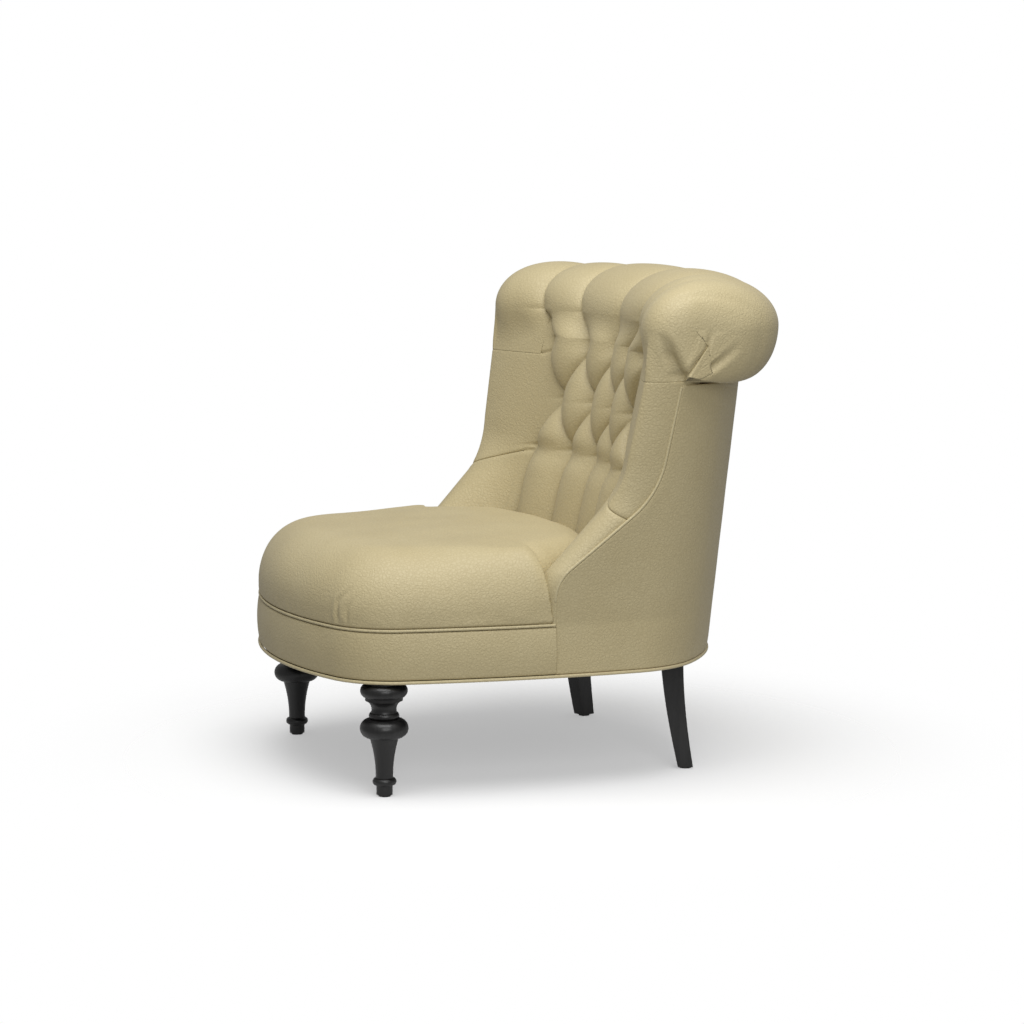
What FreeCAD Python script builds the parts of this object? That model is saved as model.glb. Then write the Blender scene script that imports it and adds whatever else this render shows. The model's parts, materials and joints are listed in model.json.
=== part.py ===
"""Tufted slipper chair with a scroll head: hardwood frame, bent panels, webbing, foam and leather covers.

Millimetres, +Z up. The front of the chair faces -Y. The origin is on the floor, midway between the outermost
points of the chair. Levels are heights above the floor, reaches are distances ahead of or behind the origin.
"""

import FreeCAD, Part
import math
import os
import re

import Sketcher

V = FreeCAD.Vector
doc = FreeCAD.newDocument("SlipperChair")

# Driving sizes

SIZES = [
    ("front_reach", 434.0, "front of the seat ahead of the origin"),
    ("rear_reach", 334.0, "outside back behind the origin, at the base"),
    ("rear_reach_top", 381.0, "outside back behind the origin, under the roll"),
    ("half_width", 337.0, "half width at the base"),
    ("half_width_top", 387.0, "half width under the roll"),
    ("widest_reach", 60.0, "where the sides are widest, behind the origin"),
    ("front_bow", 613.0, "plan radius of the front"),
    ("front_corner", 130.0, "plan radius of the front corners"),
    ("side_bow", 1815.0, "plan radius of the sides"),
    ("rear_corner", 171.0, "plan radius of the rear corners at the base"),
    ("rear_corner_top", 150.0, "plan radius of the rear corners under the roll"),
    ("back_bow", 406.0, "plan radius of the outside back at the base"),
    ("back_bow_top", 504.0, "plan radius of the outside back under the roll"),
    ("base_level", 194.0, "underside of the rails"),
    ("rail_height", 78.0, "seat rails"),
    ("rail_width", 34.0, "thickness of the seat rails"),
    ("front_joint_setback", 209.0, "front rail's joints behind the front of the seat"),
    ("rear_joint_setback", 159.0, "rear rail's joints ahead of the outside back"),
    ("front_joint", "=front_reach - front_joint_setback", "front rail's joints ahead of the origin"),
    ("rear_joint", "=rear_reach - rear_joint_setback", "rear rail's joints behind the origin"),
    ("apron_bulge", 4.0, "how far the padded apron swells"),
    ("panel_thick", 14.0, "bent plywood panels"),
    ("leather", 3.0, "leather with its lining"),
    ("gap", 0.3, "clearance between neighbouring pieces"),
    ("welt_radius", 3.0, "piped welts"),
    ("seam_lead", 46.0, "upright side seam ahead of the origin"),
    ("arm_level", 352.0, "where the side edge turns back over the arm"),
    ("arm_bend", 60.0, "radius of that turn"),
    ("wing_reach", 125.0, "where the side edge turns up the wing, behind the origin"),
    ("wing_level", 490.0, "height of that turn"),
    ("wing_bend", 150.0, "radius of that turn"),
    ("wing_top_reach", 156.0, "side edge under the roll, behind the origin"),
    ("shell_top", 671.0, "top edge of the outside covers"),
    ("edge_setback", 4.0, "panels behind the side edge"),
    ("seat_crown", 430.0, "top of the seat"),
    ("seat_shoulder", 68.0, "upright part of the seat above its welt"),
    ("cushion_swell", 2.0, "how far the seat swells past its welt"),
    ("arm_inside", 274.0, "half the space between the arms at their front"),
    ("arm_rear", 150.0, "rear of the arm pads behind the origin"),
    ("arm_lead", 12.0, "how far the arm's nose stands ahead of the side seam"),
    ("arm_seam", 464.0, "seam between the arm and the wing"),
    ("wing_seam", 677.0, "seam between the wing and the roll"),
    ("wing_lead", 67.0, "how far the wing's crown stands ahead of its welt"),
    ("wing_full_level", 560.0, "where the wing's crown reaches that lead"),
    ("wing_rear", 190.0, "rear of the wing pads behind the origin"),
    ("nose_inset", 38.0, "crown of the arms and wings inside the outline"),
    ("nose_round", 26.0, "rounding of the arm's inner front edge"),
    ("pad_inset", 8.0, "arm and wing pads inside the outline"),
    ("back_half", 235.0, "half width of the tufted panel"),
    ("tufts_across", 5.0, "tufts in the top and low rows, the middle row has one less"),
    ("tuft_pitch", 105.0, "spacing of the tufts across"),
    ("tuft_level_top", 706.0, "height of the top tufts"),
    ("tuft_level_mid", 610.0, "height of the middle tufts"),
    ("tuft_level_low", 522.0, "height of the low tufts"),
    ("tuft_swell", 32.0, "how far the tufts swell ahead of their folds"),
    ("back_top", 711.0, "top of the tufted panel"),
    ("back_foot_reach", 119.0, "folds of the tufted panel at the deck, behind the origin"),
    ("back_top_reach", 207.0, "folds of the tufted panel at its top, behind the origin"),
    ("back_hollow", 560.0, "plan radius of the tufted panel"),
    ("tuft_backing", 12.0, "wadding behind the folds"),
    ("back_filling", 84.0, "foam behind the tufted panel"),
    ("roll_top", 847.0, "top of the head roll"),
    ("roll_middle", 757.0, "height where the roll is deepest"),
    ("roll_front", 189.0, "front of the roll behind the origin, at the middle"),
    ("roll_rear", 434.0, "rear of the roll behind the origin, at the middle"),
    ("roll_nose", 116.0, "front of the roll to its crest"),
    ("roll_sweep", 690.0, "plan radius of the roll"),
    ("roll_half", 405.0, "half length of the roll"),
    ("roll_end_round", 80.0, "rounding at the ends of the roll"),
    ("roll_pleat", 11.0, "depth of the pleats"),
    ("roll_padding", 16.0, "leather and wadding of the roll"),
    ("front_leg_inset", 78.0, "front leg inside the widest part of the base"),
    ("front_leg_setback", 116.0, "front leg behind the front of the seat"),
    ("front_leg_side", "=half_width - front_leg_inset", "front leg from the middle"),
    ("front_leg_lead", "=front_reach - front_leg_setback", "front leg ahead of the origin"),
    ("foot_radius", 13.4, "front leg's foot"),
    ("foot_top", 18.0, "top of that foot"),
    ("ring_radius", 19.6, "front leg's ring"),
    ("ring_level", 24.0, "middle of that ring"),
    ("ring_top", 31.0, "top of that ring"),
    ("shaft_radius", 14.2, "front leg's shaft above the ring"),
    ("shaft_mid_radius", 17.0, "front leg's shaft at its middle"),
    ("shaft_mid", 68.0, "middle of that shaft"),
    ("shaft_top_radius", 24.0, "front leg's shaft under the ball"),
    ("shaft_top", 98.0, "top of that shaft"),
    ("ball_radius", 39.8, "front leg's ball"),
    ("ball_level", 112.0, "middle of that ball"),
    ("ball_top", 129.0, "top of that ball"),
    ("groove_radius", 21.5, "grooves above and below the bead"),
    ("bead_radius", 25.0, "front leg's bead"),
    ("bead_level", 134.5, "middle of that bead"),
    ("bead_top", 140.0, "top of that bead"),
    ("neck_radius", 20.6, "front leg's neck"),
    ("neck_level", 147.0, "narrowest part of that neck"),
    ("ledge_radius", 31.0, "ledge under the top disc"),
    ("ledge_level", 160.0, "underside of that ledge"),
    ("disc_level", 165.0, "underside of the top disc"),
    ("disc_radius", 39.0, "front leg's top disc"),
    ("disc_mid", 176.0, "middle of that disc"),
    ("disc_top", 187.0, "top of that disc"),
    ("plinth_radius", 27.0, "front leg's plinth against the rail"),
    ("rear_leg_inset", 111.0, "rear leg's top inside the widest part of the base"),
    ("rear_leg_setback", 127.0, "rear leg's top ahead of the outside back"),
    ("rear_leg_side", "=half_width - rear_leg_inset", "rear leg's top from the middle"),
    ("rear_leg_reach", "=rear_reach - rear_leg_setback", "rear leg's top behind the origin"),
    ("rear_leg_turn", 21.0, "rear leg turned outwards, degrees"),
    ("rear_leg_top", 38.0, "rear leg's square at the rail"),
    ("rear_leg_foot", 26.0, "rear leg's square at the floor"),
    ("rear_leg_kick", 24.0, "how far the rear foot sweeps back"),
    ("glide_height", 3.0, "nylon glides"),
    ("glide_radius", 10.0, "nylon glides"),
    ("bolt_radius", 4.0, "leg bolts"),
    ("bolt_sunk", 44.0, "length of a bolt inside its leg"),
    ("bolt_raised", 52.0, "length of a bolt inside its rail"),
    ("block_size", 96.0, "corner blocks"),
    ("block_height", 46.0, "corner blocks"),
    ("strap_width", 50.0, "webbing"),
    ("strap_thick", 2.0, "webbing"),
    ("seat_strap_pitch", 72.0, "spacing of the seat webbing"),
    ("back_strap_pitch", 104.0, "spacing of the back webbing"),
    ("cloth_thick", 1.2, "dust cloth under the seat"),
    ("post_side", 150.0, "back post from the middle"),
    ("post_width", 42.0, "width of the back posts"),
    ("post_depth", 22.0, "thickness of the back posts"),
    ("head_rail_height", 34.0, "rail under the roll"),
    ("tacking_rail_level", 300.0, "underside of the tacking rail"),
    ("tacking_rail_height", 36.0, "tacking rail"),
    ("former_side", 318.0, "outer roll formers from the middle"),
    ("former_thick", 18.0, "roll formers"),
    ("back_seam", 150.0, "seams of the outside back from the middle"),
]

sheet = doc.addObject("Spreadsheet::Sheet", "Sizes")
for row, (alias, value, note) in enumerate(SIZES, start=1):
    sheet.set(f"A{row}", alias)
    sheet.set(f"B{row}", str(value))
    sheet.set(f"C{row}", note)
    sheet.setAlias(f"B{row}", alias)
doc.recompute()

ALIASES = {alias for alias, value, note in SIZES}


class Named:
    """The numbers of the size sheet, read by name."""

    def __getattr__(self, alias):
        return float(getattr(sheet, alias))


sz = Named()


def worth(text):
    """The number of a sum of size names, such as 'ball_top + bead_height'."""
    total = 0.0
    sign = 1.0
    for word in text.split():
        if word in "+-":
            sign = 1.0 if word == "+" else -1.0
        else:
            total += sign * (getattr(sz, word) if word in ALIASES else float(word))
    return total


def bound(text):
    """An expression in which each size name points at the sheet."""
    return re.sub(r"[a-z_]+", lambda m: "Sizes." + m.group() if m.group() in ALIASES else m.group(), text)


def tie(obj, **properties):
    """Ties properties of an object to expressions of the sheet."""
    for name, text in properties.items():
        obj.setExpression(name.replace("__", "."), bound(text))


# Levels and insets worked out from the sizes

rail_top = sz.base_level + sz.rail_height
deck = rail_top + 2 * sz.strap_thick + sz.gap
seat_seam = deck + sz.welt_radius
seat_foot = seat_seam + sz.welt_radius + sz.gap
apron_foot = sz.base_level + sz.welt_radius + sz.gap
roll_underside = sz.shell_top + sz.gap
panel_inset = sz.leather + sz.gap
frame_inset = panel_inset + sz.panel_thick + sz.gap
far = 2 * sz.rear_reach_top

RAIL_TOP = "(base_level + rail_height)"
WIDE = "(2 * half_width_top)"
FAR = "(2 * rear_reach_top)"

# Sub-parts and how they are made

parts = {}


def keep(obj, name):
    """Gives a finished sub-part its name and files it for export."""
    obj.Label = name
    parts[name] = obj
    return obj


def feature(name, shape):
    """A free-form shape as an object of the document."""
    obj = doc.addObject("Part::Feature", name)
    obj.Shape = shape
    return obj


def boolean(kind, name, base, tool):
    """A Part::Cut or Part::Common of two objects."""
    obj = doc.addObject("Part::" + kind, name)
    obj.Base = base
    obj.Tool = tool
    return obj


def block(name, x_from, x_to, y_from, y_to, z_from, z_to):
    """A box between six bound positions."""
    obj = doc.addObject("Part::Box", name)
    tie(
        obj,
        Length=f"({x_to}) - ({x_from})",
        Width=f"({y_to}) - ({y_from})",
        Height=f"({z_to}) - ({z_from})",
        Placement__Base__x=x_from,
        Placement__Base__y=y_from,
        Placement__Base__z=z_from,
    )
    return obj


def cylinder(name, radius, x, y, z_from, z_to):
    """An upright cylinder with a bound size and place."""
    obj = doc.addObject("Part::Cylinder", name)
    tie(
        obj,
        Radius=radius,
        Height=f"({z_to}) - ({z_from})",
        Placement__Base__x=x,
        Placement__Base__y=y,
        Placement__Base__z=z_from,
    )
    return obj


def group(name, objects):
    """Separate solids that share one node."""
    obj = doc.addObject("Part::Compound", name)
    obj.Links = objects
    return obj


def arc(a, b, c):
    """The arc from a over b to c."""
    return Part.Arc(V(*a), V(*b), V(*c)).toShape()


def line(a, b):
    """The straight edge from a to b."""
    return Part.LineSegment(V(*a), V(*b)).toShape()


def loft(wires):
    """A closed ruled loft through wires with the same number of edges."""
    solid = Part.makeLoft(wires, True, True)
    if solid.Volume < 0:
        solid.reverse()
    return solid


# Plan outline of the chair: eight tangent arcs that widen with height

def meeting(first, first_radius, second, second_radius):
    """Both points where two circles meet."""
    dx = second[0] - first[0]
    dy = second[1] - first[1]
    apart = math.hypot(dx, dy)
    along = (first_radius**2 - second_radius**2 + apart**2) / (2 * apart)
    aside = math.sqrt(first_radius**2 - along**2)
    middle = (first[0] + dx * along / apart, first[1] + dy * along / apart)
    offset = (-dy * aside / apart, dx * aside / apart)
    return (middle[0] + offset[0], middle[1] + offset[1]), (middle[0] - offset[0], middle[1] - offset[1])


def bearing(centre, point):
    """The direction of a point seen from a centre, in radians."""
    return math.atan2(point[1] - centre[1], point[0] - centre[0])


def half_width_at(level):
    """Half width of the outside covers at a level: upright to the seat's seam, then flaring."""
    flare = max(0.0, (level - seat_seam) / (sz.shell_top - seat_seam))
    return sz.half_width + flare * (sz.half_width_top - sz.half_width)


def outline_arcs(level):
    """Right half of the outline: centre, radius, start and end angle of each tangent arc."""
    rise = (level - sz.base_level) / (sz.shell_top - sz.base_level)
    rear = sz.rear_reach + rise * (sz.rear_reach_top - sz.rear_reach)
    corner = sz.rear_corner + rise * (sz.rear_corner_top - sz.rear_corner)
    back = sz.back_bow + rise * (sz.back_bow_top - sz.back_bow)
    side_centre = (half_width_at(level) - sz.side_bow, sz.widest_reach)
    front_centre = (0.0, sz.front_bow - sz.front_reach)
    back_centre = (0.0, rear - back)
    front_radii = (sz.front_bow - sz.front_corner, sz.side_bow - sz.front_corner)
    rear_radii = (back - corner, sz.side_bow - corner)
    front = min(meeting(front_centre, front_radii[0], side_centre, front_radii[1]), key=lambda p: p[1])
    rear_centre = max(meeting(back_centre, rear_radii[0], side_centre, rear_radii[1]), key=lambda p: p[1])
    turns = [
        -math.pi / 2,
        bearing(front_centre, front),
        bearing(side_centre, front),
        bearing(side_centre, rear_centre),
        bearing(back_centre, rear_centre),
        math.pi / 2,
    ]
    centres = [front_centre, front, side_centre, rear_centre, back_centre]
    radii = [sz.front_bow, sz.front_corner, sz.side_bow, corner, back]
    return list(zip(centres, radii, turns, turns[1:]))


def three_points(centre, radius, start, end, side, level):
    """Start, middle and end of an outline arc, on the right side (1) or the left (-1)."""
    return [
        (side * (centre[0] + radius * math.cos(t)), centre[1] + radius * math.sin(t), level)
        for t in (start, (start + end) / 2, end)
    ]


def outline_edges(level, inset, arcs):
    """Front arc, then the arcs of the right side towards the rear, then those of the left side back."""
    half = [three_points(c, r - inset, a, b, 1, level) for c, r, a, b in arcs]
    other = [three_points(c, r - inset, a, b, -1, level) for c, r, a, b in arcs]
    front = arc(other[0][2], half[0][0], half[0][2])
    right = [arc(*three) for three in half[1:4]]
    left = [arc(*reversed(three)) for three in reversed(other[1:4])]
    return front, right, left, half, other


def outline(level, inset=0.0):
    """The closed outline at a level, drawn in by an inset."""
    front, right, left, half, other = outline_edges(level, inset, outline_arcs(level))
    back = arc(half[4][0], half[4][2], other[4][0])
    return Part.Wire([front] + right + [back] + left)


shell_levels = [sz.base_level - sz.rail_height, seat_seam, sz.shell_top + sz.rail_height]


def shell(name, inset):
    """The chair's plan carried up past the roll, drawn in all round by an inset."""
    return feature(name, loft([outline(level, inset) for level in shell_levels]))


# Side edge of the outside covers, seen from the side: upright, back over the arm, up the wing

def edge_corners(setback, foot, top):
    """Corners (reach, level) and bend radii of the side edge, moved back parallel to itself."""
    lean = (sz.wing_top_reach - sz.wing_reach) / (sz.shell_top - sz.wing_level)
    line_up = [
        (-sz.seam_lead, foot),
        (-sz.seam_lead, sz.arm_level),
        (sz.wing_reach, sz.wing_level),
        (sz.wing_reach + lean * (top - sz.wing_level), top),
    ]
    normals = []
    for (y, z), (next_y, next_z) in zip(line_up, line_up[1:]):
        long = math.hypot(next_y - y, next_z - z)
        normals.append(((next_z - z) / long, (y - next_y) / long))
    normals = [normals[0]] + normals + [normals[-1]]
    corners = []
    for (y, z), (ay, az), (by, bz) in zip(line_up, normals, normals[1:]):
        share = setback / (1 + ay * by + az * bz)
        corners.append((y + (ay + by) * share, z + (az + bz) * share))
    return corners, [sz.arm_bend - setback, sz.wing_bend + setback]


def rounded(corners, bends):
    """Straight edges between corner points in space, with tangent arcs at the inner corners."""
    edges = []
    last = corners[0]
    for before, here, after, bend in zip(corners, corners[1:], corners[2:], bends):
        back = (before - here).normalize()
        ahead = (after - here).normalize()
        half = back.getAngle(ahead) / 2
        start = here + back * (bend / math.tan(half))
        end = here + ahead * (bend / math.tan(half))
        middle = here + (back + ahead).normalize() * (bend / math.sin(half) - bend)
        edges.append(Part.LineSegment(last, start).toShape())
        edges.append(Part.Arc(start, middle, end).toShape())
        last = end
    edges.append(Part.LineSegment(last, corners[-1]).toShape())
    return edges


def edge_path(setback, top):
    """The side edge as edges in the plane of the chair's middle."""
    corners, bends = edge_corners(setback, 0.0, top)
    return rounded([V(0, reach, level) for reach, level in corners], bends)


edge_line = Part.Wire(edge_path(0.0, sz.roll_top))


def edge_reach(level):
    """How far behind the origin the side edge lies at a level."""
    level_line = line((0, -sz.front_reach, level), (0, sz.rear_reach, level))
    return edge_line.distToShape(level_line)[1][0][0].y


def behind_edge(setback, level_from, level_to):
    """Everything behind the side edge between two levels."""
    edges = edge_path(setback, level_to + sz.rail_height)
    foot = edges[0].Vertexes[0].Point
    top = edges[-1].Vertexes[-1].Point
    loop = [top, V(0, far, top.z), V(0, far, foot.z), foot]
    edges += [Part.LineSegment(a, b).toShape() for a, b in zip(loop, loop[1:])]
    prism = Part.Face(Part.Wire(edges)).extrude(V(far, 0, 0))
    prism.translate(V(-far / 2, 0, 0))
    slab = Part.makeBox(far, 2 * far, level_to - level_from, V(-far / 2, -far, level_from))
    return prism.common(slab)


# Legs

def profile_sketch(body, name, corners):
    """A closed sketch in the body's XZ plane. A corner is (x, z, arc point or None) of bound sums."""
    sketch = body.newObject("Sketcher::SketchObject", name)
    plane = [f for f in body.Origin.OriginFeatures if f.Role == "XZ_Plane"][0]
    sketch.AttachmentSupport = [(plane, "")]
    sketch.MapMode = "FlatFace"
    spots = [V(worth(x), worth(z), 0) for x, z, over in corners]
    sides = []
    for index, (x, z, over) in enumerate(corners):
        after = spots[(index + 1) % len(spots)]
        if over is None:
            side = sketch.addGeometry(Part.LineSegment(spots[index], after))
        else:
            side = sketch.addGeometry(Part.Arc(spots[index], V(worth(over[0]), worth(over[1]), 0), after))
        sides.append(side)
    ends = []
    for index, side in enumerate(sides):
        start = sketch.getPoint(side, 1)
        first = 1 if start.distanceToPoint(spots[index]) < 1e-6 else 2
        ends.append((first, 3 - first))
    for index, side in enumerate(sides):
        after = (index + 1) % len(sides)
        sketch.addConstraint(Sketcher.Constraint("Coincident", side, ends[index][1], sides[after], ends[after][0]))

    def place(geometry, point, x, z):
        for kind, text in (("DistanceX", x), ("DistanceY", z)):
            constraint = Sketcher.Constraint(kind, -1, 1, geometry, point, worth(text))
            number = sketch.addConstraint(constraint)
            sketch.setExpression(f"Constraints[{number}]", bound(text))

    for index, (x, z, over) in enumerate(corners):
        place(sides[index], ends[index][0], x, z)
        if over is not None:
            mark = sketch.addGeometry(Part.Point(V(worth(over[0]), worth(over[1]), 0)), True)
            place(mark, 1, *over)
            sketch.addConstraint(Sketcher.Constraint("PointOnObject", mark, 1, sides[index]))
    return sketch


def turned_leg(name, side):
    """A front leg turned on a lathe: foot, ring, tapered shaft, ball, bead, neck, disc and plinth."""
    body = doc.addObject("PartDesign::Body", name)
    corners = [
        ("0", "glide_height", None),
        ("foot_radius", "glide_height", None),
        ("foot_radius", "foot_top", ("ring_radius", "ring_level")),
        ("shaft_radius", "ring_top", ("shaft_mid_radius", "shaft_mid")),
        ("shaft_top_radius", "shaft_top", ("ball_radius", "ball_level")),
        ("groove_radius", "ball_top", ("bead_radius", "bead_level")),
        ("groove_radius", "bead_top", ("neck_radius", "neck_level")),
        ("ledge_radius", "ledge_level", None),
        ("ledge_radius", "disc_level", ("disc_radius", "disc_mid")),
        ("ledge_radius", "disc_top", None),
        ("plinth_radius", "disc_top", None),
        ("plinth_radius", "base_level", None),
        ("0", "base_level", None),
    ]
    sketch = profile_sketch(body, name + "_profile", corners)
    turning = body.newObject("PartDesign::Revolution", name + "_turning")
    turning.Profile = sketch
    turning.ReferenceAxis = (sketch, ["V_Axis"])
    turning.Angle = 360.0
    tie(body, Placement__Base__x=f"{side} * front_leg_side", Placement__Base__y="-front_leg_lead")
    return body


def square_sketch(body, name, width, shift, level):
    """A bound square in a plane above the body's XY plane, moved back by a shift."""
    sketch = body.newObject("Sketcher::SketchObject", name)
    plane = [f for f in body.Origin.OriginFeatures if f.Role == "XY_Plane"][0]
    sketch.AttachmentSupport = [(plane, "")]
    sketch.MapMode = "FlatFace"
    tie(sketch, AttachmentOffset__Base__y=shift, AttachmentOffset__Base__z=level)
    signs = [(-1, -1), (1, -1), (1, 1), (-1, 1)]
    spots = [V(10 * a, 10 * b, 0) for a, b in signs]
    sides = [sketch.addGeometry(Part.LineSegment(spots[i], spots[(i + 1) % 4])) for i in range(4)]
    for i in range(4):
        sketch.addConstraint(Sketcher.Constraint("Coincident", sides[i], 2, sides[(i + 1) % 4], 1))
        kind = "Horizontal" if i % 2 == 0 else "Vertical"
        sketch.addConstraint(Sketcher.Constraint(kind, sides[i]))
    sketch.addConstraint(Sketcher.Constraint("Symmetric", sides[0], 1, sides[2], 1, -1, 1))
    for kind, edge in (("DistanceX", sides[0]), ("DistanceY", sides[1])):
        number = sketch.addConstraint(Sketcher.Constraint(kind, edge, 1, edge, 2, 20.0))
        sketch.setExpression(f"Constraints[{number}]", bound(width))
    return sketch


LEG_STATIONS = 4


def sabre_leg(name, side):
    """A rear leg: a square that tapers to the floor and sweeps back in a curve."""
    body = doc.addObject("PartDesign::Body", name)
    sketches = []
    for station in range(LEG_STATIONS):
        share = station / (LEG_STATIONS - 1)
        width = f"rear_leg_foot + (rear_leg_top - rear_leg_foot) * {share:.4f}"
        shift = f"rear_leg_kick * {(1 - share) ** 1.6:.4f}"
        level = f"glide_height + (base_level - glide_height) * {share:.4f}"
        sketches.append(square_sketch(body, f"{name}_square_{station}", width, shift, level))
    shaft = body.newObject("PartDesign::AdditiveLoft", name + "_shaft")
    shaft.Profile = sketches[0]
    shaft.Sections = sketches[1:]
    shaft.Ruled = False
    tie(
        body,
        Placement__Base__x=f"{side} * rear_leg_side",
        Placement__Base__y="rear_leg_reach",
        Placement__Rotation__Angle="rear_leg_turn",
    )
    body.Placement.Rotation = FreeCAD.Rotation(V(0, 0, -side), sz.rear_leg_turn)
    return body


# Frame

def frame():
    """Rails, corner blocks, bent panels, posts and the two cross rails, all fitted to the outline."""
    outside = shell("frame_outside", frame_inset)
    inside = shell("frame_inside", frame_inset + sz.rail_width)
    block_room = shell("block_room", frame_inset + sz.rail_width + sz.gap)
    post_room = shell("post_room", frame_inset + sz.post_depth)
    ring = boolean("Cut", "frame_ring", outside, inside)
    post_ring = boolean("Cut", "post_ring", outside, post_room)
    bolts = []
    holes = []
    legs = [("front", "front_leg_side", "-front_leg_lead"), ("rear", "rear_leg_side", "rear_leg_reach")]
    for end, across, along in legs:
        for hand, side in (("left", -1), ("right", 1)):
            x = f"{side} * {across}"
            top = "base_level + bolt_raised"
            bolts.append(cylinder(f"bolt_{end}_{hand}", "bolt_radius", x, along, "base_level - bolt_sunk", top))
            hole_top = top + " + gap"
            hole_foot = "base_level - bolt_sunk - gap"
            holes.append(cylinder(f"hole_{end}_{hand}", "bolt_radius + gap", x, along, hole_foot, hole_top))
    keep(group("bolts", bolts), "leg_bolts")
    bores = group("bolt_bores", holes)
    stock = boolean("Cut", "bored_ring", ring, bores)
    block_stock = boolean("Cut", "bored_blocks", block_room, bores)

    spans = {
        "front_rail": (f"-{WIDE}", WIDE, f"-{FAR}", "-front_joint"),
        "rear_rail": (f"-{WIDE}", WIDE, "rear_joint", FAR),
        "left_rail": (f"-{WIDE}", "0", "-front_joint", "rear_joint"),
        "right_rail": ("0", WIDE, "-front_joint", "rear_joint"),
    }
    for name, (x_from, x_to, y_from, y_to) in spans.items():
        cutter = block(name + "_span", x_from, x_to, y_from, y_to, "base_level", RAIL_TOP)
        keep(boolean("Common", name + "_piece", stock, cutter), name)

    for end, across, along in legs:
        for hand, side in (("left", -1), ("right", 1)):
            name = f"corner_block_{end}_{hand}"
            x = f"{side} * {across}"
            cutter = block(
                name + "_blank",
                f"{x} - block_size / 2",
                f"{x} + block_size / 2",
                f"{along} - block_size / 2",
                f"{along} + block_size / 2",
                "base_level",
                "base_level + block_height",
            )
            keep(boolean("Common", name + "_piece", block_stock, cutter), name)

    for hand, side in (("left", -1), ("right", 1)):
        name = f"back_post_{hand}"
        cutter = block(
            name + "_span",
            f"{side} * post_side - post_width / 2",
            f"{side} * post_side + post_width / 2",
            "0",
            FAR,
            RAIL_TOP,
            "wing_seam - head_rail_height",
        )
        keep(boolean("Common", name + "_piece", post_ring, cutter), name)
    return outside


def bent_panels():
    """Plywood bent round the sides and the back, between the frame and the outside covers."""
    face = shell("panel_outside", panel_inset)
    ring = face.Shape.cut(shell("panel_inside", panel_inset + sz.panel_thick).Shape)
    ring = ring.common(behind_edge(sz.edge_setback, sz.base_level, sz.shell_top))
    split_sides(feature("panel_ring", ring), ("side_panel_left", "back_panel", "side_panel_right"))


def split_sides(ring, names):
    """Cuts a ring behind the seat into a left, a rear and a right piece at the back's seams."""
    spans = [(f"-{WIDE}", "-back_seam - gap / 2"), ("-back_seam + gap / 2", "back_seam - gap / 2"),
             ("back_seam + gap / 2", WIDE)]
    for name, (x_from, x_to) in zip(names, spans):
        y_from = "0" if x_from.startswith("-back") else f"-{FAR}"
        cutter = block(name + "_span", x_from, x_to, y_from, FAR, "0", "shell_top + rail_height")
        keep(boolean("Common", name + "_piece", ring, cutter), name)


# Tufted inside back

def back_folds(level):
    """Reach of the folds at the middle of the inside back."""
    share = (level - deck) / (sz.back_top - deck)
    return sz.back_foot_reach + share * (sz.back_top_reach - sz.back_foot_reach)


def hollow(x):
    """How far the inside back comes forward beside its middle."""
    return sz.back_hollow - math.sqrt(sz.back_hollow**2 - x * x)


def arch(share):
    """A rounded rise from 0 over 1 back to 0 while share goes from 0 to 1."""
    return 4 * share * (1 - share)


def back_rows():
    """Levels of the tufted panel: (level, kind of row, swell of its tufts)."""
    top = sz.tuft_level_top
    mid = sz.tuft_level_mid
    low = sz.tuft_level_low
    return [
        (deck, "columns", 0.2),
        (sz.seat_crown - sz.tuft_swell, "columns", 0.8),
        (low, "columns", 1.0),
        ((low + mid) / 2, "crossing", 1.0),
        (mid, "between", 1.0),
        ((mid + top) / 2, "crossing", 1.0),
        (top, "columns", 1.0),
        (sz.back_top, "columns", 0.97),
    ]


def swell(kind, quarter):
    """Rise of the leather at a quarter step across, counted from the middle."""
    if kind == "columns":
        return arch((quarter % 4) / 4)
    if kind == "between":
        return arch(((quarter + 2) % 4) / 4)
    return 0.25 + 0.6 * arch(((quarter + 1) % 2) / 2)


FLANK_SHARE = 0.4


def tufted_wire(level, kind, amount):
    """Closed outline of the tufted panel at a level, an arc for each quarter step across."""
    outermost = int(sz.tufts_across - 1) * 2
    step = sz.tuft_pitch / 4
    folds = back_folds(level)
    rise = sz.tuft_swell * amount

    def front(quarter):
        x = quarter * step
        return (x, folds - hollow(x) - rise * swell(kind, quarter), level)

    edges = []
    flank = rise * FLANK_SHARE
    half = sz.back_half
    corner = (half, folds - hollow(half) - flank, level)
    mirrored = (-half, corner[1], level)
    first = front(-outermost)
    edges.append(line(mirrored, first))
    for quarter in range(-outermost, outermost):
        edges.append(arc(front(quarter), front(quarter + 0.5), front(quarter + 1)))
    last = front(outermost)
    edges.append(line(last, corner))
    rear = folds + sz.tuft_backing
    rear_corner = (half, rear - hollow(half), level)
    edges.append(line(corner, rear_corner))
    edges.append(arc(rear_corner, (0, rear, level), (-half, rear_corner[1], level)))
    edges.append(line((-half, rear_corner[1], level), mirrored))
    return Part.Wire(edges)


def bowed_wire(level, half, front, rear):
    """A closed outline between two bows that follow the hollow of the back."""
    corners = [(-half, front, 1), (half, front, 1), (half, rear, 1), (-half, rear, 1)]
    a, b, c, d = [(x, y - hollow(x), level) for x, y, z in corners]
    return Part.Wire([arc(a, (0, front, level), b), line(b, c), arc(c, (0, rear, level), d), line(d, a)])


def bowed(half, front, rear, level_from, level_to):
    """A slab that follows the hollow and the rake of the back, between two offsets from the folds."""
    return loft([
        bowed_wire(level, half, back_folds(level) + front, back_folds(level) + rear)
        for level in (level_from, level_to)
    ])


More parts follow.
